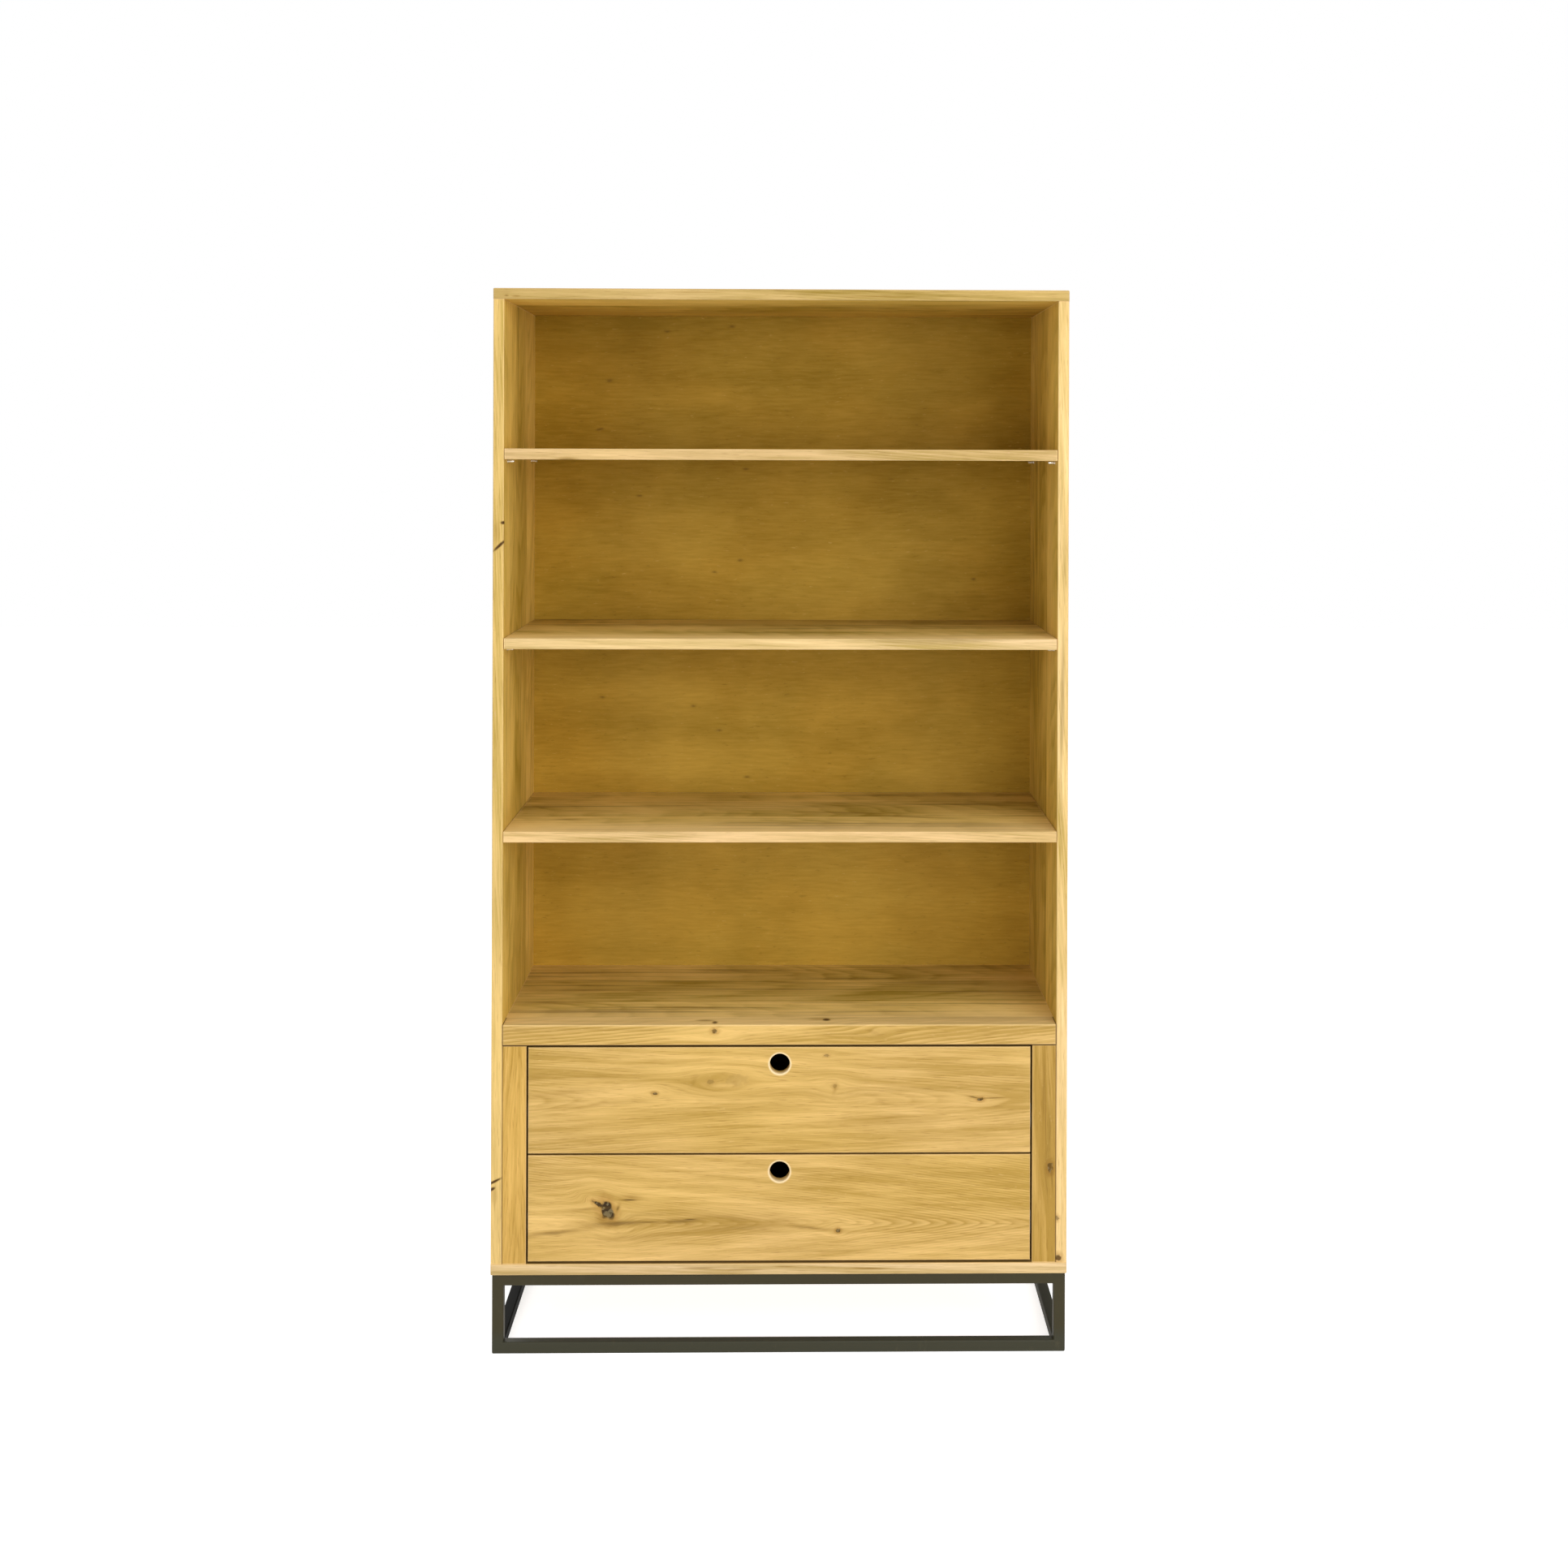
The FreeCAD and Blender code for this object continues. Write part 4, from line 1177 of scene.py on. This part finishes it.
    def _left_side(self) -> int:
        """Dresses the left side, with the crack in its front edge.

        Returns:
            How many nodes were dressed.
        """
        edge = self.front
        finish = OakFinish(
            "oak_side_left", Cut.SIDE, 7.0, "side_panel_left", Tint.INNER, streaky=0.5,
            face=Face(Side.LEFT, Tint.OUTER, calm=0.6),
            stave_step=0.9, front_light_gain=(0.90, 0.91, 1.35),
            streaks=(
                Streak(1.4413, edge, 0.0032, 0.012, 1.00, through=-0.4820, reach=0.0050),
                Streak(1.4120, edge, 0.0330, 0.020, 0.50, through=-0.4795, reach=0.0022),
                Streak(1.4020, edge, 0.0115, 0.014, 1.00, through=-0.4880, reach=0.0042, tilt=1.0),
                Streak(1.4250, edge, 0.0200, 0.012, 0.35, through=-0.4930, reach=0.0050),
                Streak(0.3002, edge, 0.0070, 0.014, 1.00, through=-0.4936, reach=0.0052, tilt=1.72),
                Streak(0.2870, edge, 0.0044, 0.014, 1.00, through=-0.4975, reach=0.0050, tilt=0.8),
                Streak(0.2760, edge, 0.0160, 0.014, 0.35, through=-0.4940, reach=0.0060),
                Streak(1.005, 0.156, 0.045, 0.0026, 0.95, 0.05),
                Streak(0.930, 0.145, 0.030, 0.0020, 0.40),
            ),
        )
        return dress(finish)

    def _right_side(self) -> int:
        """Dresses the right side, with the knots in its front edge.

        Returns:
            How many nodes were dressed.
        """
        edge = self.front
        finish = OakFinish(
            "oak_side_right", Cut.SIDE, 8.0, "side_panel_right", Tint.INNER, streaky=0.55,
            face=Face(Side.RIGHT, Tint.OUTER, calm=0.6),
            stave_step=0.9, front_light_gain=(1.0, 1.03, 1.85), knot_colour=(0.095, 0.045, 0.008),
            knots=(
                Knot(0.1650, edge, 0.0050, 0.92, 1.2, 2.6, through=0.4850),
                Knot(0.2340, edge, 0.0034, 0.62, 1.3, 2.6, through=0.4830),
            ),
            streaks=(
                Streak(1.748, 0.149, 0.010, 0.0026, 0.75),
                Streak(1.708, -0.055, 0.012, 0.0026, 0.7),
                Streak(1.169, 0.038, 0.014, 0.0026, 0.75),
            ),
        )
        return dress(finish)

    def _stiles(self) -> int:
        """Dresses the stiles beside the drawers.

        Returns:
            How many nodes were dressed.
        """
        left = OakFinish(
            "oak_stile_left", Cut.POST, 5.0, "stile_left", stave=0.2, first_stave=-0.55,
            heart=Heart(0.33, -0.455, 0.09, 0.003), figure=1.5, shaded=(Side.LEFT, Side.RIGHT),
            front_light_gain=(1.02, 0.96, 0.76),
            streaks=(
                # Painted shade: dark lines along the joints with the side and the rail.
                Streak(0.35, -0.4806, ENDLESS, 0.0013, 0.85),
                Streak(0.5348, -0.46, 0.0011, ENDLESS, 0.9),
            ),
        )
        right = OakFinish(
            "oak_stile_right", Cut.POST, 6.0, "stile_right", stave=0.2, first_stave=0.35, tone=0.38,
            heart=Heart(0.9, 0.445, 0.05, 0.02), figure=1.5, shaded=(Side.LEFT, Side.RIGHT),
            front_light_gain=(0.92, 0.88, 0.72), knot_colour=(0.11, 0.055, 0.008),
            knots=(Knot(0.3215, 0.4710, 0.0052, 0.88, 1.7, 3.0),),
            streaks=(
                Streak(0.46, 0.4595, 0.13, 0.0046, 0.55, 0.01, ragged=0.3),
                Streak(0.41, 0.4625, 0.10, 0.0014, 0.65, -0.01),
                Streak(0.30, 0.4740, 0.025, 0.0014, 0.65, -0.04),
                Streak(0.52, 0.4765, 0.05, 0.0016, 0.5),
                # Painted shade: dark lines along the joints with the side and the rail.
                Streak(0.35, 0.4806, ENDLESS, 0.0013, 0.85),
                Streak(0.5348, 0.46, 0.0011, ENDLESS, 0.9),
            ),
        )
        return dress(left) + dress(right)

    @staticmethod
    def _back() -> PlywoodFinish:
        """The back's finish with its dark flecks.

        Returns:
            The finish.
        """
        places = (
            (-0.225, 1.80), (-0.10, 1.81), (-0.335, 1.705), (-0.355, 1.61), (-0.28, 1.48), (-0.07, 1.535),
            (-0.085, 1.355), (-0.13, 1.335), (-0.35, 1.09), (-0.17, 1.075), (-0.125, 1.025), (-0.07, 0.935),
            (0.37, 1.32),
        )
        flecks = tuple(Knot(x, z, 0.0026, 0.6, 2.2) for x, z in places)
        return PlywoodFinish(
            "plywood_back", Cut.FASCIA, 1.0, middle=1.1, upward_shade=0.45, wall_light=(0.26, 0.47), flecks=flecks
        )


@dataclass
class Shelves:
    """The three loose shelves and their pins."""

    nickel: Colour = (0.80, 0.77, 0.70)

    def build(self) -> int:
        """Dresses the shelves and pins.

        Returns:
            How many nodes were dressed.
        """
        upper = OakFinish(
            "oak_shelf_upper", Cut.SHELF, 21.0, "shelf_upper", Tint.SHELF, painted_front_light=0.3, contrast=0.72,
            front_light_gain=(0.875, 0.835, 1.32),
            streaks=(Streak(-0.372, -0.196, 0.02, 0.006, 0.6, through=1.5515, reach=0.004),),
        )
        middle = OakFinish(
            "oak_shelf_middle", Cut.SHELF, 22.0, "shelf_middle", Tint.SHELF, streaky=0.75, tone=0.06,
            painted_front_light=0.7, painted_back_shade=0.3, front_light_gain=(0.97, 0.97, 1.58),
            streaks=(
                Streak(0.1286, 0.062, 0.014, 0.004, 0.7),
                Streak(0.24, 0.02, 0.13, 0.006, 0.5, ragged=0.6),
            ),
        )
        lower = OakFinish(
            "oak_shelf_lower", Cut.SHELF, 23.0, "shelf_lower", Tint.SHELF, streaky=0.8,
            tone=-0.14, painted_front_light=0.7, painted_back_shade=0.12, front_light_gain=(0.94, 0.88, 1.32),
            streaks=(
                Streak(0.12, -0.02, 0.09, 0.006, 0.7, -0.1, ragged=0.6),
                Streak(0.24, -0.06, 0.08, 0.006, 0.6, -0.2, ragged=0.6),
                Streak(-0.385, -0.087, 0.03, 0.006, 0.7, ragged=0.6),
                Streak(-0.2, 0.05, 0.06, 0.006, 0.5, ragged=0.6),
            ),
        )
        count = sum(dress(finish) for finish in (upper, middle, lower))
        return count + dress(RolledMetal("bright_nickel", self.nickel, roughness=0.16, along=0), "shelf_pins")


@dataclass
class SteelBase:
    """The welded base of square tube. Its left and right side tubes have a gloss of their own and painted
    shade on all but their outer faces, much darker on the left.
    """

    coat: PowderCoat = PowderCoat()
    gloss: tuple[float, float] = (0.02, 0.06)
    shade: tuple[float, float] = (0.10, 0.9)

    def build(self) -> int:
        """Dresses the tubes.

        Returns:
            How many nodes were dressed.
        """
        front = [name for name in frame["nodes"] if name.startswith(("base_leg_", "base_rail_"))]
        count = dress(self.coat, *front)
        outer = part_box("base_tube_right_top")[1][0]
        # Painted shade for how the light falls: the left tubes much darker than the right.
        for hand, gloss, shade in zip(HANDS, self.gloss, self.shade):
            coat = PowderCoat(f"{self.coat.name}_{hand}", gloss=gloss, outer=outer, shade=shade)
            count += dress(coat, f"base_tube_{hand}_top", f"base_tube_{hand}_bottom")
        return count


@dataclass
class Drawers:
    """Both drawers. Their boxes and floors have seeds in a row."""

    floor_seed: float = 3.0
    box_seed: float = 33.0
    ring: float = 0.0042
    hole_radius: float = 0.0175
    hole_drop: float = 0.029

    def build(self) -> int:
        """Dresses the fronts and the boxes.

        Returns:
            How many nodes were dressed.
        """
        count = dress(self._upper_front()) + dress(self._lower_front())
        cuts = {"side_left": Cut.DRAWER_SIDE, "side_right": Cut.DRAWER_SIDE, "back": Cut.FASCIA}
        for i, name in enumerate(("lower", "upper")):
            floor = PlywoodFinish(f"plywood_floor_{name}", Cut.SHELF, self.floor_seed + i)
            count += dress(floor, f"{name}_drawer_floor")
            for j, (part, cut) in enumerate(cuts.items(), start=len(cuts) * i):
                board = f"{name}_drawer_{part}"
                seed = self.box_seed + j
                box = OakFinish(f"oak_{board}", cut, seed, board, tone=-0.12, contrast=0.8, streaky=0.15)
                count += dress(box)
        return count

    def _hole(self, board: str) -> tuple[float, float, float]:
        """Where a front's finger hole is.

        Args:
            board: The front's node.

        Returns:
            Its place across and up, and its radius.
        """
        return (0.0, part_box(board)[1][2] - self.hole_drop, self.hole_radius)

    def _upper_front(self) -> OakFinish:
        """The upper front: plain, with a curl, small knots and a hairline crack.

        Returns:
            The finish.
        """
        board = "upper_drawer_front"
        return OakFinish(
            "oak_front_upper", Cut.FASCIA, 32.0, board, stave=0.4, first_stave=0.3, ring=self.ring, tone=0.02,
            heart=Heart(-0.9, 0.44, 0.07, 0.02), streaky=0.12, hole=self._hole(board), shaded=tuple(Side),
            knots=(
                Knot(-0.2166, 0.4517, 0.0026, 0.8, 1.6, 5.0),
                Knot(0.3487, 0.4411, 0.0030, 0.95, 1.8, 3.0),
                Knot(0.0959, 0.4640, 0.0035, 0.35, 1.2, 6.0),
                Knot(-0.1200, 0.4720, 0.0040, 0.30, 1.8, 5.0),
                Knot(-0.0735, 0.4750, 0.0100, 0.12, 1.8, 2.6),
                Knot(0.0813, 0.5176, 0.0025, 0.45, 2.0, 3.0),
            ),
            streaks=(
                Streak(0.337, 0.4445, 0.012, 0.0016, 0.85, -0.2),
                Streak(0.372, 0.4430, 0.030, 0.0014, 0.75, 0.02),
                Streak(-0.32, 0.4809, 0.045, 0.0050, 0.38, ragged=0.6),
                Streak(-0.42, 0.4809, 0.030, 0.0045, 0.40, ragged=0.6),
                Streak(-0.39, 0.4500, 0.070, 0.0060, 0.38, 0.1, ragged=0.7),
                Streak(-0.30, 0.4350, 0.090, 0.0045, 0.30, 0.1, ragged=0.7),
                Streak(-0.150, 0.4710, 0.005, 0.0050, 0.40, 0.8, ragged=0.5),
                Streak(0.0960, 0.4600, 0.004, 0.0070, 0.40, 1.2, ragged=0.5),
                Streak(0.19, 0.4020, 0.090, 0.0100, 0.26, ragged=0.7),
            ),
        )

    def _lower_front(self) -> OakFinish:
        """The lower front: an arched figure, a dark band and a knot with a crack through it.

        Returns:
            The finish.
        """
        board = "lower_drawer_front"
        return OakFinish(
            "oak_front_lower", Cut.FASCIA, 31.0, board, stave=0.4, first_stave=0.1, ring=self.ring, tone=0.38,
            heart=Heart(-0.06, 0.226, 0.14, 0.006, 0.27), figure=1.2, unrest=0.40, streaky=0.12,
            hole=self._hole(board), shaded=tuple(Side),
            knots=(
                Knot(-0.2985, 0.2490, 0.0150, 1.0, 0.80, 2.4, lean=0.45),
                Knot(-0.3130, 0.2600, 0.0042, 0.95, 2.4, 2.0, lean=0.5),
                Knot(0.1017, 0.2134, 0.0034, 1.0, 1.2, 4.0),
            ),
            streaks=(
                Streak(-0.2604, 0.2677, 0.019, 0.0018, 0.95),
                Streak(-0.2560, 0.2725, 0.018, 0.0060, 0.50, ragged=0.4),
                Streak(-0.2800, 0.2530, 0.004, 0.0060, 0.75, 1.0),
                Streak(-0.3050, 0.2330, 0.014, 0.0080, 0.45, ragged=0.4),
                Streak(-0.3900, 0.2110, 0.070, 0.0060, 0.66, 0.12, ragged=0.7),
                Streak(-0.2780, 0.2260, 0.080, 0.0065, 0.72, 0.02, ragged=0.7),
                Streak(-0.2300, 0.2290, 0.045, 0.0020, 0.75, 0.02),
                Streak(-0.1728, 0.2300, 0.060, 0.0055, 0.68, 0.1, ragged=0.7),
                Streak(-0.1550, 0.2335, 0.022, 0.0018, 0.85, 0.05),
                Streak(-0.0900, 0.2360, 0.070, 0.0080, 0.50, -0.05, ragged=0.7),
                Streak(-0.0600, 0.2180, 0.100, 0.0070, 0.52, 0.02, ragged=0.7),
                Streak(-0.0100, 0.2240, 0.050, 0.0150, 0.42, ragged=0.5),
                Streak(0.0500, 0.2180, 0.060, 0.0045, 0.62, -0.08, ragged=0.7),
                Streak(-0.3350, 0.2520, 0.030, 0.0025, 0.50, 0.05, ragged=0.6),
                Streak(-0.2100, 0.2060, 0.120, 0.0050, 0.35, 0.1, ragged=0.7),
            ),
        )


@dataclass
class RunnersAndScrews:
    """The ball runners with their cages, and all screws."""

    zinc: Colour = (0.66, 0.68, 0.70)
    cage: Colour = (0.56, 0.55, 0.52)

    def build(self) -> int:
        """Dresses the runners, cages and screws.

        Returns:
            How many nodes were dressed.
        """
        nodes = frame["nodes"]
        bright = [name for name in nodes if "_runner_" in name or name.endswith("_screws")]
        cages = [name for name in nodes if name.endswith("_cages")]
        count = dress(RolledMetal("bright_zinc", self.zinc, roughness=0.28), *bright)
        return count + dress(RolledMetal("cage_steel", self.cage, roughness=0.30), *cages)


# ---------------------------------------------------------------- studio


@dataclass(frozen=True)
class Lamp:
    """A square soft light."""

    name: str
    place: Point
    aim: Point
    side: float
    power: float

    def build(self) -> None:
        """Adds the light."""
        data = bpy.data.lights.new(self.name, "AREA")
        data.shape = "SQUARE"
        data.size = self.side
        data.energy = self.power
        lamp = bpy.data.objects.new(self.name, data)
        lamp.location = self.place
        lamp.rotation_euler = (Vector(self.aim) - Vector(self.place)).to_track_quat("-Z", "Y").to_euler()
        bpy.context.scene.collection.objects.link(lamp)


@dataclass
class Studio:
    """White floor and world, and soft lights."""

    floor_reach: float = 14.0
    world_light: float = 0.36
    seen_light: float = 1.0
    lamps: tuple[Lamp, ...] = (
        Lamp("key", (2.1, -3.9, 2.0), (0.0, 0.0, 0.95), 3.0, 110.0),
        Lamp("fill", (-2.2, -3.9, 1.4), (0.0, 0.0, 0.9), 2.4, 48.0),
        Lamp("top", (0.3, -1.6, 4.2), (0.0, 0.0, 0.4), 2.6, 44.0),
        Lamp("rear", (-1.6, 4.2, 2.2), (0.0, 0.0, 1.0), 2.4, 55.0),
    )

    def build(self) -> int:
        """Makes the floor, the world and the lights.

        Returns:
            How many lights were made.
        """
        mesh = bpy.data.meshes.new("floor")
        shape = bmesh.new()
        bmesh.ops.create_grid(shape, x_segments=2, y_segments=2, size=self.floor_reach)
        shape.to_mesh(mesh)
        shape.free()
        floor = bpy.data.objects.new("floor", mesh)
        floor.data.materials.append(StudioFloor().build())
        bpy.context.scene.collection.objects.link(floor)
        self._world()
        for lamp in self.lamps:
            lamp.build()
        return len(self.lamps)

    def _world(self) -> None:
        """White where it is seen, and a plain soft light for the rest."""
        world = bpy.data.worlds.new("studio")
        world.use_nodes = True
        bpy.context.scene.world = world
        g = Graph.of(world.node_tree)
        soft, white = (
            g.node("ShaderNodeBackground", {}, {"Color": WHITE, "Strength": strength})
            for strength in (self.world_light, self.seen_light)
        )
        shaders = {0: shown_white(g), 1: soft.outputs[0], 2: white.outputs[0]}
        mixed = g.node("ShaderNodeMixShader", {}, shaders)
        g.node("ShaderNodeOutputWorld", {}, {"Surface": mixed.outputs[0]})


@dataclass
class FrontCamera:
    """A camera in front of the upper shelves, a little turned and rolled, with its film shifted to the feet.

    Angles are in radians, the eye's column and row in pixels of the frame, and the film in millimetres.
    """

    sideways: float = 0.0266
    distance: float = 3.5237
    eye_height: float = 1.5539
    turn: float = 0.0161
    roll: float = 0.0030
    focal_pixels: float = 2359.7
    eye_column: float = 1020.0
    eye_row: float = 565.2
    film: float = 36.0

    def build(self) -> None:
        """Makes the camera and sets it as the scene's."""
        data = bpy.data.cameras.new("front")
        data.sensor_width = self.film
        data.lens = self.focal_pixels / FRAME_SIDE * self.film
        data.shift_x = (FRAME_SIDE / 2 - self.eye_column) / FRAME_SIDE
        data.shift_y = (self.eye_row - FRAME_SIDE / 2) / FRAME_SIDE
        camera = bpy.data.objects.new("front", data)
        camera.location = (self.sideways, -self.distance, self.eye_height)
        camera.rotation_euler = (math.radians(90.0), -self.roll, -self.turn)
        bpy.context.scene.collection.objects.link(camera)
        bpy.context.scene.camera = camera


def main() -> None:
    """Builds the scene in order."""
    logging.basicConfig(level=logging.INFO, format="%(message)s")
    bpy.context.scene.view_settings.view_transform = "Standard"
    for assembly in (Carcass(), Shelves(), SteelBase(), Drawers(), RunnersAndScrews()):
        LOG.info("%s: %d nodes dressed", type(assembly).__name__, assembly.build())
    LOG.info("Studio: %d lights", Studio().build())
    FrontCamera().build()


if __name__ == "__main__":
    main()
